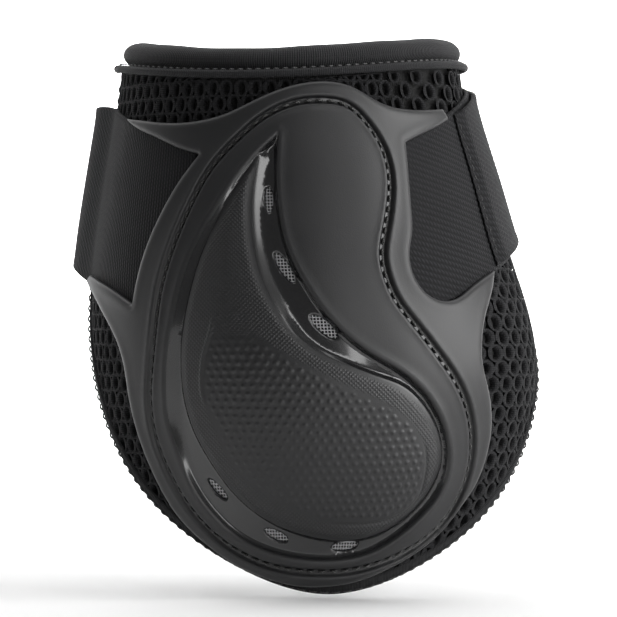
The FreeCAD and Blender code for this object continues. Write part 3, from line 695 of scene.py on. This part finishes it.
def guard_shell():
    """Outer face, inner face with its strap pockets, and ruled walls along the rim and the vents."""
    loops = [shell_line, *vent_lines]
    places, corners = triangles(loops, guard_places())
    corners = within(loops, places, corners)
    height, marks = guard_face(places)
    outer = leg(places[:, 0] / FLAT, places[:, 1], height)

    def back_level(spots):
        """The inner face stands off the mesh where a strap runs under it."""
        across, up = spots.T
        pockets = np.minimum(*[distance(spots, smooth_line(flat(line), 1.0), closed=False)
                               for line in (RIGHT_POCKET, LEFT_POCKET)])
        rights, lefts = (np.interp(up, heights, np.array(degrees) * FLAT)
                         for heights, degrees in (RIGHT_COVER, LEFT_COVER))
        covered = ((across > rights) | (across < lefts)) & (up > -4)
        return SHELL_BACK + (POCKET_ROOF - SHELL_BACK) * np.where(covered, 1.0, 1 - ease(pockets, 0, 0.6))

    spread = hexagonal(shell_line.min(0), shell_line.max(0), 2.2)
    spread = spread[depth_in(spread, shell_line) > 0.8]
    spread = spread[np.min([-depth_in(spread, line) for line in vent_lines], axis=0) > 0.8]
    under, under_corners = triangles(loops, spread)
    under_corners = within(loops, under, under_corners)
    inner = leg(under[:, 0] / FLAT, under[:, 1], back_level(under))
    parts = [(outer, corners, places, np.stack(list(marks.values()), -1)),
             (inner, under_corners[:, ::-1], under, np.zeros((len(under), 3)))]
    for loop, turn in [(shell_line, 1)] + [(line, -1) for line in vent_lines]:
        top_height, _ = guard_face(loop)
        low = back_level(loop)
        rows = np.stack([leg(loop[:, 0] / FLAT, loop[:, 1], low + (top_height - low) * share)
                         for share in (0, 0.5, 1)])
        index = strip(3, len(loop), closed=True)
        # the walls get no gloss and no diamond relief, and a painted highlight that grows towards their top
        # edge
        wall_marks = np.stack([np.zeros(3 * len(loop))] * 2 + [np.repeat([0, 0.3, 0.6], len(loop))], -1)
        parts.append((rows, index[:, ::-1] if turn > 0 else index, np.tile(loop, (3, 1)), wall_marks))
    points, faces, cloth, values = join(parts)
    marks = {name: values[:, i] for i, name in enumerate(marks)}
    item = build("guard", points, faces, cloth, marks, weld=True)
    return place(item, GUARD, "moulded_guard", "guard_shell")


def vent_net(name, vents, node):
    """Woven net behind the vents: threads each way, every one a flat ribbon that waves over and under."""
    parts = []
    for line in vents:
        low, high = line.min(0) - 1.2, line.max(0) + 1.2
        for way in (0, 1):
            lanes = np.arange(low[1 - way], high[1 - way], NET_PITCH)
            run = np.arange(low[way], high[way], NET_PITCH / 2)
            counts = np.arange(len(lanes)), np.arange(len(run)), [-1, 0, 1]
            lane, step, side = np.meshgrid(*counts, indexing="ij")
            spots = np.empty(lane.shape + (2,))
            spots[..., way] = run[step]
            spots[..., 1 - way] = lanes[lane] + side * NET_HALF_THREAD
            lift = 0.34 + 0.1 * np.cos(math.pi * (step / 2 + lane + way)) + 0.05 * (side == 0)
            index = np.concatenate([strip(len(run), 3) + k * len(run) * 3 for k in range(len(lanes))])
            parts.append((leg(spots[..., 0] / FLAT, spots[..., 1], lift), index if way else index[:, ::-1],
                          spots, np.zeros(lift.size)))
    points, faces, cloth, _ = join(parts)
    return place(build(name, points, faces, cloth), NET, "vent_mesh", node)


# ---------------------------------------------------------------- thread
def thread_row(name, path, normals, pitch, radius, node, material, share=0.74, body="root"):
    """Stitches along a path: each is a tube on an arc that dips into the cloth at both ends.

    A stitch's middle line is path(start + t * run) + normal * radius * (1.7 * sin(pi t) - 0.9), and the
    tube's radius shrinks to a third at its ends."""
    run = np.r_[0, np.cumsum(np.linalg.norm(np.diff(path, axis=0), axis=1))]
    count = int(run[-1] / pitch)
    t = np.linspace(0, 1, 7)
    stops = (np.arange(count)[:, None] + (1 - share) / 2 + share * t) * run[-1] / count
    line = np.stack([np.interp(stops, run, column) for column in path.T], -1)
    up = np.stack([np.interp(stops, run, column) for column in normals.T], -1)
    up /= np.linalg.norm(up, axis=-1, keepdims=True)
    line = line + up * (radius * (1.7 * np.sin(math.pi * t) - 0.9))[:, None]
    ahead = np.gradient(line, axis=1)
    ahead /= np.linalg.norm(ahead, axis=-1, keepdims=True)
    side = np.cross(ahead, up)
    turn = np.linspace(0, 2 * math.pi, 6, endpoint=False)
    girth = radius * np.sqrt(np.clip(1.1 - (2 * t - 1) ** 4, 0.1, 1))
    over = np.cross(side, ahead)
    circle = side[:, :, None] * np.cos(turn)[:, None] + over[:, :, None] * np.sin(turn)[:, None]
    points = line[:, :, None] + girth[:, None, None] * circle
    tube = strip(7, 6, closed=True)
    ends = np.array([[0, 1, 2, 3], [0, 3, 4, 5], [39, 38, 37, 36], [41, 40, 39, 36]])
    faces = np.concatenate([tube, ends]) + 42 * np.arange(count)[:, None, None]
    cloth = np.stack(np.broadcast_arrays(stops[:, :, None], turn * radius), -1)
    item = build(name, points, faces.reshape(-1, 4), cloth)
    return place(item, material, "thread", node, body=body)


# ---------------------------------------------------------------- liner
def liner_half_span(height):
    """Half of the liner's span in degrees at a height, from its outline."""
    outline = np.array([(0, LINER_BOTTOM)] + LINER_HALF_OUTLINE[::-1] + [(LINER_HALF_SPAN, 72)])
    return np.interp(height, outline[:, 1], outline[:, 0])


def liner_edge():
    """The liner's free edge as a smooth flat line, from the top at the right, round the bottom, to the
    left."""
    right = [(LINER_CENTRE + a, h) for a, h in LINER_HALF_OUTLINE]
    left = [(LINER_CENTRE - a, h) for a, h in LINER_HALF_OUTLINE[::-1]]
    tops = [(a, float(piping_height(a)) - 0.8) for a in (LINER_CENTRE + LINER_HALF_SPAN,
                                                         LINER_CENTRE - LINER_HALF_SPAN)]
    return smooth_line(flat([tops[0], *right, (LINER_CENTRE, LINER_BOTTOM), *left, tops[1]]), 1.1)


edge_line = liner_edge()
edge_run = np.gradient(edge_line, axis=0)
edge_in = np.stack([edge_run[:, 1], -edge_run[:, 0]], -1) / np.linalg.norm(edge_run, axis=1, keepdims=True)
top_across = np.linspace(edge_line[-1, 0], edge_line[0, 0], 60)[1:-1]
liner_loop = np.vstack([edge_line, np.stack([top_across, piping_height(top_across / FLAT) - 0.8], -1)])


def liner_sheet(name, level, inset, rows, columns, inward, relief=None):
    """A sheet over the liner's whole area: rows climb from the bottom point to the top seam, and each row
    spans the liner's width at its height. Level is a height above the form."""
    climb = np.linspace(0, 1, rows)[:, None] ** 1.5
    aside = np.linspace(-1, 1, columns)
    base = LINER_BOTTOM + inset + climb * (70 - LINER_BOTTOM - inset)
    angle = LINER_CENTRE + aside * np.maximum(liner_half_span(base - inset * 0.5) - inset / FLAT, 0.02)
    height = LINER_BOTTOM + inset + climb * (piping_height(angle) + 2.0 - LINER_BOTTOM - inset)
    lift = level + (0 if relief is None else relief(angle, height))
    index = strip(rows, columns)
    return build(name, leg(angle, height, lift), index if inward else index[:, ::-1],
                 np.stack([angle * FLAT, height], -1))


def open_mesh():
    """The liner's outer net: one cell with an oval hole, repeated on a hexagonal lattice.

    A cell is rings of 12 points: its border halfway to its neighbours at yarn-crown height, the crown of
    the yarn, the lip of the hole, and three rings down the hole's wall. At the right, cells lean and are
    drawn out wider."""
    pitch, rise = MESH_PITCH, MESH_ROW
    turn = np.linspace(0, 2 * math.pi, 12, endpoint=False) + math.pi / 12
    wedge = (turn + math.pi / 6) % (math.pi / 3) - math.pi / 6
    border = pitch / 2 / np.cos(wedge)
    oval = 1 / np.sqrt((np.cos(turn) / HOLE_HALF_WIDTH) ** 2 + (np.sin(turn) / HOLE_HALF_HEIGHT) ** 2)
    # each ring: radius, level, and how much painted shade darkens the yarn there, growing down the hole
    rings = [(border, 0.0, 0.0), (border * 0.5 + oval * 0.5, 0.02, 0.0), (oval * 1.12, -0.12, 0.1),
             (oval * 0.97, -0.5, 0.4), (oval * 0.86, -1.15, 0.8), (oval * 0.84, -MESH_DEPTH + 0.5, 1.0)]
    shape = np.array([radius[:, None] * np.stack([np.cos(turn), np.sin(turn)], -1) for radius, _, _ in rings])
    shape[..., 1] *= rise / (pitch * math.sqrt(3) / 2)

    def widened(across):
        return across + 0.4 * np.maximum(across - 46, 0)

    row, across = np.meshgrid(np.arange(40), np.arange(-102, 118, pitch), indexing="ij")
    cells = np.stack([across + row % 2 * pitch / 2, -82 + row * rise], -1).reshape(-1, 2)
    cells[:, 0] += 0.17 * (cells[:, 1] + 20) * ease(cells[:, 0], 30, 52)
    cells = cells + chance.normal(0, 0.09, cells.shape)
    drawn = np.stack([widened(cells[:, 0]), cells[:, 1]], -1)
    cells = cells[(depth_in(drawn, liner_loop) > -1.0) & (depth_in(drawn, shell_line) < 4.0)]
    stretch = 1 + chance.normal(0, 0.035, (len(cells), 1, 1, 1))
    spots = np.broadcast_to(shape, (len(cells),) + shape.shape) * 1.0
    spots[:, 1:] *= stretch
    spots = spots + cells[:, None, None]
    flat_spots = spots.reshape(-1, 2)
    flat_spots[:, 0] = widened(flat_spots[:, 0])
    deep = depth_in(flat_spots, liner_loop)
    toward = np.array([LINER_CENTRE * FLAT, 10.0]) - flat_spots
    toward /= np.linalg.norm(toward, axis=1, keepdims=True)
    pull = np.where(deep < 0.7, np.clip(0.8 - deep, 0, 4), 0)
    flat_spots = flat_spots + toward * pull[:, None]
    level, shade = (np.broadcast_to(np.array(column)[:, None], spots.shape[:3]).ravel()
                    for column in list(zip(*rings))[1:])
    points = leg(flat_spots[:, 0] / FLAT, flat_spots[:, 1], level - 0.05)
    one = strip(len(rings), 12, closed=True)
    faces = one + 12 * len(rings) * np.arange(len(cells))[:, None, None]
    # the depth mark carries the painted shade of the hole walls
    item = build("open_mesh", points, faces.reshape(-1, 4), flat_spots, {"depth": shade})
    return place(item, OPEN_KNIT, "spacer_mesh", "spacer_mesh")


def edge_binding():
    """Tape folded round the liner's edge: a U profile, (distance in from the edge, level), carried along
    the edge, pinched a little between stitches."""
    low, high = BINDING
    middle, half = (low + high) / 2, (high - low) / 2
    bow = np.radians(np.linspace(-90, 90, 9))
    fold = np.stack([1.5 - 1.5 * np.cos(bow) ** 0.8,
                     middle + half * np.sign(bow) * np.abs(np.sin(bow)) ** 0.6], -1)
    profile = np.vstack([[(3.5, low + 0.7), (3.4, low + 0.15)], fold,
                         [(2.6, high), (3.52, high - 0.04), (3.8, high - 0.55)]])
    along = np.arange(len(edge_line)) * 1.1
    pinch = 0.09 * np.cos(2 * math.pi * along / 3.2)
    inset, level = profile.T
    spots = edge_line[:, None] + edge_in[:, None] * inset[:, None]
    lift = level + pinch[:, None] * (inset > 0.8) * np.sign(level - middle)
    around = np.r_[0, np.cumsum(np.linalg.norm(np.diff(profile, axis=0), axis=1))]
    cloth = np.stack(np.broadcast_arrays(along[:, None], around), -1)
    item = build("edge_tape", leg(spots[..., 0] / FLAT, spots[..., 1], lift),
                 strip(len(edge_line), len(profile)), cloth)
    return place(item, BINDING_TAPE, "binding", "edge_binding")


def roll(name, half_thickness, half_height, standoff, lift, columns, around, bulge, material, node):
    """A closed oval roll along the top seam: its section is (half_thickness cos t, half_height sin t), and
    its ends are drawn in by a quarter circle."""
    angle = np.linspace(LINER_CENTRE - LINER_HALF_SPAN, LINER_CENTRE + LINER_HALF_SPAN, columns)[:, None]
    turn = np.linspace(0, 2 * math.pi, around, endpoint=False)
    from_end = np.minimum(np.arange(columns), np.arange(columns)[::-1])[:, None]
    shrink = np.sqrt(np.clip(1 - (1 - np.clip(from_end / 4, 0, 1)) ** 2, 0.0004, 1))
    height = piping_height(angle) + lift
    tangent = ring(angle + 0.5, height) - ring(angle - 0.5, height)
    out = np.stack([tangent[..., 1], -tangent[..., 0], np.zeros_like(tangent[..., 0])], -1)
    out /= np.linalg.norm(out, axis=-1, keepdims=True)
    swell = bulge(angle, turn) if bulge else 1
    reach = standoff + half_thickness * np.cos(turn) * shrink * swell
    points = ring(angle, height) + out * reach[..., None]
    points = points + np.stack([np.zeros_like(reach)] * 2 + [half_height * np.sin(turn) * shrink * swell], -1)
    cloth = np.stack(np.broadcast_arrays(angle * 0.87, turn * (half_thickness + half_height) / 2), -1)
    item = build(name, points, strip(columns, around, closed=True), cloth)
    return place(item, material, "collar_fabric", node)


def collar_bulge(angle, turn):
    """The padded roll fills unevenly: broad soft swells and small puckers towards the seam."""
    soft = 0.03 * np.sin(np.radians(angle * 5.3 + 20)) + 0.018 * np.sin(np.radians(angle * 13.7))
    pucker = 0.028 * np.cos(np.radians(angle * 74)) * np.clip(-np.sin(turn), 0, 1) ** 2
    return 0.985 + soft + pucker


# ---------------------------------------------------------------- straps
def strap_middle(angle):
    """The strap climbs from the guard to the front by a sine of the angle, and leans a little to the
    right."""
    short = np.abs((np.asarray(angle, float) + 180) % 360 - 180)
    climb = np.sin(np.radians(STRAP_CLIMB_RATE * np.minimum(short, STRAP_LEVEL_ANGLE)))
    return STRAP_START + STRAP_CLIMB * climb + STRAP_TILT * np.sin(np.radians(angle))


def left_level(angle):
    """The left elastic's inner face stands off the form where it leaves the liner."""
    return LOOP_LEVELS[0] + (LEFT_STANDOFF - LOOP_LEVELS[0]) * ease(-angle, 76, 94)


def left_half_width(angle):
    return LEFT_HALF_WIDTH + (FRONT_HALF_WIDTH - LEFT_HALF_WIDTH) * ease(-angle, 78, 104)


def front_level(angle):
    return TAB_LEVEL + (LEFT_STANDOFF - TAB_LEVEL) * ease(angle, TAB_HINGE, LEFT_HINGE + 360)


def webbing(name, start, stop, step, half, level, thickness, ribs, shares=61):
    """A strap as a closed band: its section runs over the outer face, round a rounded selvedge, and back
    along the inner face, and is carried round the leg from start to stop. Start may be a function of the
    share across."""
    face = np.linspace(-1, 1, shares)
    section = [(s, 1.0) for s in face] + [(1.012, 0.82), (1.018, 0.5), (1.012, 0.18)]
    section += [(s, 0.0) for s in np.linspace(1, -1, 15)] + [(-1.012, 0.18), (-1.018, 0.5), (-1.012, 0.82)]
    share, depth = np.array(section).T
    first = start(share) if callable(start) else np.full(share.shape, float(start))
    backwards = float(np.mean(first)) > stop
    count = max(3, round(abs(stop - float(np.mean(first))) / step))
    t = np.linspace(0, 1, count + 1)[:, None]
    angle = first + (stop - first) * t
    wide = half(angle)
    height = strap_middle(angle) + share * wide
    along, across = angle * FLAT, share * wide
    # the rib mark also gives the ribbed elastic a painted highlight on its rib crests
    rib = ribs(along, height) * (depth == 1)
    selvedge = 0.12 * (1 - ease(wide - np.abs(across), 1.2, 1.9))
    thick = thickness(angle) if callable(thickness) else thickness
    lift = level(angle) + thick * depth + (0.26 * (rib - 0.5) + selvedge) * (depth == 1)
    points = leg(angle, height, lift)
    columns = len(share)
    index = strip(count + 1, columns, closed=True)
    top = np.arange(shares)
    low = np.arange(shares + 17, shares + 2, -1)[np.round(np.linspace(0, 14, shares)).astype(int)]
    cap = np.stack([top[:-1], low[:-1], low[1:], top[1:]], -1)
    faces = [index, cap[:, ::-1], cap + count * columns]
    if not backwards:
        faces = [face[:, ::-1] for face in faces]
    cloth = np.stack([along, across], -1)
    return build(name, points, faces, cloth, {"rib": rib})


def plain_ribs(along, height):
    return 0.5 + 0.0 * along


def slanting_ribs(along, height):
    """Ribs 1.6 mm apart that fall a little to the right, each a row of slubs."""
    phase = height * math.cos(0.24) + along * math.sin(0.24)
    row = 0.5 + 0.5 * np.cos(2 * math.pi * phase / 1.62)
    slub = 0.5 + 0.5 * np.cos(2 * math.pi * (along / 1.3 + np.round(phase / 1.62) * 0.41))
    return row ** 0.8 * (0.86 + 0.14 * slub)


def fixed_end(share):
    """Where the left strap ends under the guard."""
    line = np.array([(-46.8, -1.1), (-44.6, -0.75), (-41.4, -0.37), (-37.8, 0.03), (-33, 0.5), (-28.6, 1.1)])
    return np.interp(share, line[:, 1], line[:, 0])


def loop_end(share):
    """Where the loop strap ends under the guard."""
    line = np.array([(25.8, -1.1), (26.2, -0.4), (28.4, 0.1), (30.2, 0.6), (32, 1.1)])
    return np.interp(share, line[:, 1], line[:, 0])


def always(value):
    """A measure that is the same all round the leg."""
    return lambda angle: np.full(np.shape(angle), value)


def bend_across(item, hinge, level):
    """Bakes the strap's placement into its mesh; the points 4 degrees either side of its hinge are worked out
    but not used.
    """
    before, after = (leg(a, strap_middle(a), level) * 0.001 for a in (hinge + 4.0, hinge - 4.0))
    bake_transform(item)


def strap_pieces():
    """Two bands whose shape changes at a hinge angle, each baked in place with no body, and the loop strap
    on the root body."""
    whole = lambda a: np.where(a < LEFT_HINGE, FRONT_HALF_WIDTH, left_half_width(a))
    around = lambda a: np.where(a >= LEFT_HINGE, left_level(a), front_level(a + 360))
    left = webbing("left_strap", fixed_end, -180, 0.62, whole, around, 1.2, plain_ribs)
    place(left, ELASTIC, "elastic", "left_elastic", "front_elastic", body=None)
    bend_across(left, LEFT_HINGE, 5.8)

    tab_level = lambda a: np.where(a > TAB_HINGE, front_level(a),
                                   TAB_TIP_LEVEL + (TAB_LEVEL - TAB_TIP_LEVEL) * ease(a, 60.5, 65))
    tab_thickness = lambda a: 0.5 + (TAB_THICKNESS - 0.5) * ease(a, 59, 64)
    closing = webbing("closing_strap", 180, TAB_END, 0.4, always(FRONT_HALF_WIDTH), tab_level, tab_thickness,
                      slanting_ribs, shares=97)
    place(closing, RIBBED, "elastic", "closure_tab", body=None)
    bend_across(closing, TAB_HINGE, 2.8)

    loop = webbing("loop_webbing", loop_end, LOOP_END, 0.4, always(LOOP_HALF_WIDTH), always(LOOP_LEVELS[0]),
                   1.1, slanting_ribs, shares=101)
    place(loop, RIBBED, "loop_face", "loop_strap")


def hook_tape():
    """Moulded tape with rows of hooks that point at the loop face: a hook is a bent stem of 5 rings of
    4."""
    base = webbing("hook_base", *HOOK_SPAN, 0.8, always(HOOK_HALF_WIDTH), always(HOOK_LEVELS[0] + 0.15),
                   HOOK_LEVELS[1] - HOOK_LEVELS[0] - 0.15, plain_ribs, shares=21)
    place(base, NYLON, "hook", "hook_tape", body="closure")
    lanes = np.arange(HOOK_SPAN[0] + 1, HOOK_SPAN[1] - 1, 1.5)
    angle, share = np.meshgrid(lanes, np.linspace(-0.92, 0.92, 24))
    angle, height = angle.ravel(), (strap_middle(angle) + share * HOOK_HALF_WIDTH).ravel()
    bend = np.array([(0.0, 0.0), (0.0, 0.28), (0.08, 0.46), (0.3, 0.5), (0.42, 0.36)])
    turn = np.linspace(0, 2 * math.pi, 4, endpoint=False) + math.pi / 4
    girth = np.array([0.13, 0.1, 0.09, 0.08, 0.05])
    spots_a = angle[:, None, None] + (bend[:, 0, None] + girth[:, None] * np.cos(turn)) / FLAT
    spots_h = height[:, None, None] + girth[:, None] * np.sin(turn) + 0 * bend[:, 0, None]
    lift = HOOK_LEVELS[0] + 0.2 - bend[:, 1, None] + 0 * turn
    points = leg(spots_a, spots_h, np.broadcast_to(lift, spots_a.shape))
    faces = strip(5, 4, closed=True) + 20 * np.arange(len(angle))[:, None, None]
    tips = np.array([[19, 18, 17, 16]]) + 20 * np.arange(len(angle))[:, None, None]
    faces = np.concatenate([faces.reshape(-1, 4), tips.reshape(-1, 4)])
    cloth = np.stack([spots_a * FLAT, spots_h], -1)
    place(build("hooks", points, faces, cloth), NYLON, "hook", body="closure")


# ---------------------------------------------------------------- camera, light, floor
def soft_light(name, place, turn, wide, tall, power):
    light = bpy.data.objects.new(name, bpy.data.lights.new(name, "AREA"))
    light.data.shape = "RECTANGLE"
    light.data.size, light.data.size_y, light.data.energy = wide, tall, power
    light.location, light.rotation_euler = place, turn
    light.visible_camera = False
    bpy.context.scene.collection.objects.link(light)


def studio():
    """A level view of the guard: a large soft light at the right, a narrow one in front, weaker ones at the
    left and above, and a pale sweep whose far part glows."""
    camera = bpy.data.objects.new("camera", bpy.data.cameras.new("camera"))
    camera.data.lens = 204.7
    camera.data.clip_end = 20
    camera.location = (0, -1.0, 0.00242)
    camera.rotation_euler = (math.pi / 2, 0, 0)
    bpy.context.scene.collection.objects.link(camera)
    bpy.context.scene.camera = camera
    bpy.context.scene.view_settings.view_transform = "Standard"
    for name, azimuth, elevation, reach, wide, tall, power in (
            ("key", 71, 10, 0.9, 0.7, 0.9, 12.5), ("strip", 22, 8, 0.95, 0.14, 0.8, 1.9),
            ("fill", -104, 12, 0.95, 0.4, 0.8, 0.8), ("top", 180, 84, 0.8, 1.2, 0.7, 5)):
        a, e = math.radians(azimuth), math.radians(elevation)
        at = (reach * math.sin(a) * math.cos(e), -reach * math.cos(a) * math.cos(e), reach * math.sin(e))
        soft_light(name, at, (math.pi / 2 - e, 0, a), wide, tall, power)
    for side in (-1, 1):
        soft_light("sweep_light", (side * 0.9, 0.45, 0.6), (math.pi / 2, 0, 0), 0.9, 0.9, 30)
    world = bpy.data.worlds.new("studio")
    world.use_nodes = True
    air = world.node_tree.nodes["Background"].inputs
    air["Color"].default_value, air["Strength"].default_value = (1, 1, 1, 1), 0.2
    bpy.context.scene.world = world
    floor_height = cad_box[0][2] * 1000 - 0.3
    back = np.linspace(0, math.pi / 2, 14)
    path = [(-420.0, 0.0), (1200.0, 0.0)]
    path += [(1300 + 500 * math.sin(a), 500 - 500 * math.cos(a)) for a in back] + [(1800.0, 2400.0)]
    y, z = np.array(path).T
    x = np.linspace(-2600, 2600, 7)
    points = np.stack(np.broadcast_arrays(x[:, None], y, z + floor_height), -1)
    floor = build("floor", points, strip(7, len(y))[:, ::-1])
    paper = Finish("pale_paper", Emission_Strength=0.9)
    paper.set("Base Color", paper.tint(paper.speck(60), (0.78, 0.78, 0.78), (0.82, 0.82, 0.82)))
    paper.set("Roughness", 0.8 + paper.speck(20) * 0.1)
    spot = paper.node("ShaderNodeTexCoord", {}, {}, "Object")
    glow = paper.node("ShaderNodeSeparateXYZ", {}, {0: spot}, 1).between(0.02, 0.5)
    paper.set("Emission Color", paper.tint(glow, (0.0, 0.0, 0.0), (1, 1, 1)))
    floor.data.materials.append(paper.material)


studio()
guard_shell()
vent_net("upper_net", vent_lines[:3], "vent_mesh_upper")
vent_net("lower_net", vent_lines[3:], "vent_mesh_lower")

channel_path = np.vstack([channel_line, channel_line[:1]])
thread_row("guard_stitches", leg(channel_path[:, 0] / FLAT, channel_path[:, 1], SHELL_FACE - GROOVE + 0.12),
           outward(channel_path[:, 0] / FLAT, channel_path[:, 1]), 3.1, 0.36, "shell_stitching", GUARD_THREAD)
hem = (edge_line + edge_in * 1.35)[3:-3]
thread_row("edge_stitches", leg(hem[:, 0] / FLAT, hem[:, 1], BINDING[1] + 0.12),
           outward(hem[:, 0] / FLAT, hem[:, 1]), 3.2, 0.26, "binding_stitching", GUARD_THREAD)
seam = np.linspace(LINER_CENTRE - LINER_HALF_SPAN + 3, LINER_CENTRE + LINER_HALF_SPAN - 3, 90)
thread_row("collar_stitches", leg(seam, piping_height(seam) + 1.25, 0.75), outward(seam, piping_height(seam)),
           2.5, 0.2, "collar_stitching", EDGE_THREAD, share=0.6)
crosswise = np.linspace(-0.9, 0.9, 13)
row_at = LOOP_END - 1.2
loop_row = leg(row_at, strap_middle(row_at) + crosswise * LOOP_HALF_WIDTH, LOOP_LEVELS[1] + 0.06)
thread_row("loop_stitches", loop_row, outward(row_at, strap_middle(LOOP_END) + crosswise * 20),
           3.0, 0.18, "loop_strap_stitching", GUARD_THREAD)
row_at = TAB_END + 1.4
tab_row = leg(row_at, strap_middle(row_at) + crosswise * FRONT_HALF_WIDTH, 2.2)
thread_row("tab_stitches", tab_row, outward(row_at, strap_middle(TAB_END) + crosswise * 20),
           3.0, 0.14, "closure_stitching", GUARD_THREAD, body="closure")

net = open_mesh()
ground = place(liner_sheet("mesh_ground", -MESH_DEPTH + 0.5, 1.2, 90, 120, False), MESH_GROUND, "spacer_mesh")
quilt = lambda angle, height: 0.5 * np.exp(-np.abs((height + 0.35 * angle + 400) % 24 - 12) ** 2)
lining = place(liner_sheet("lining", LINING_FACE, 1.2, 90, 130, True, quilt),
               LINING, "lining", "lining_fabric")
edge_binding()
collar = roll("collar_roll", ROLL_HALF_THICKNESS, ROLL_HALF_HEIGHT, 0.4 - ROLL_HALF_THICKNESS, ROLL_LIFT,
              420, 36, collar_bulge, COLLAR_KNIT, "collar_cover")
roll("piping", PIPING_RADIUS, PIPING_RADIUS, PIPING_STANDOFF, 0, 260, 14, None, PIPING_KNIT, "top_piping")
strap_pieces()
hook_tape()

for node, material in (("impact_foam", IMPACT_FOAM), ("neoprene_liner", NEOPRENE),
                       ("collar_foam", IMPACT_FOAM)):
    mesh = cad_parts[node].data
    mesh.materials.clear()
    mesh.materials.append(material)
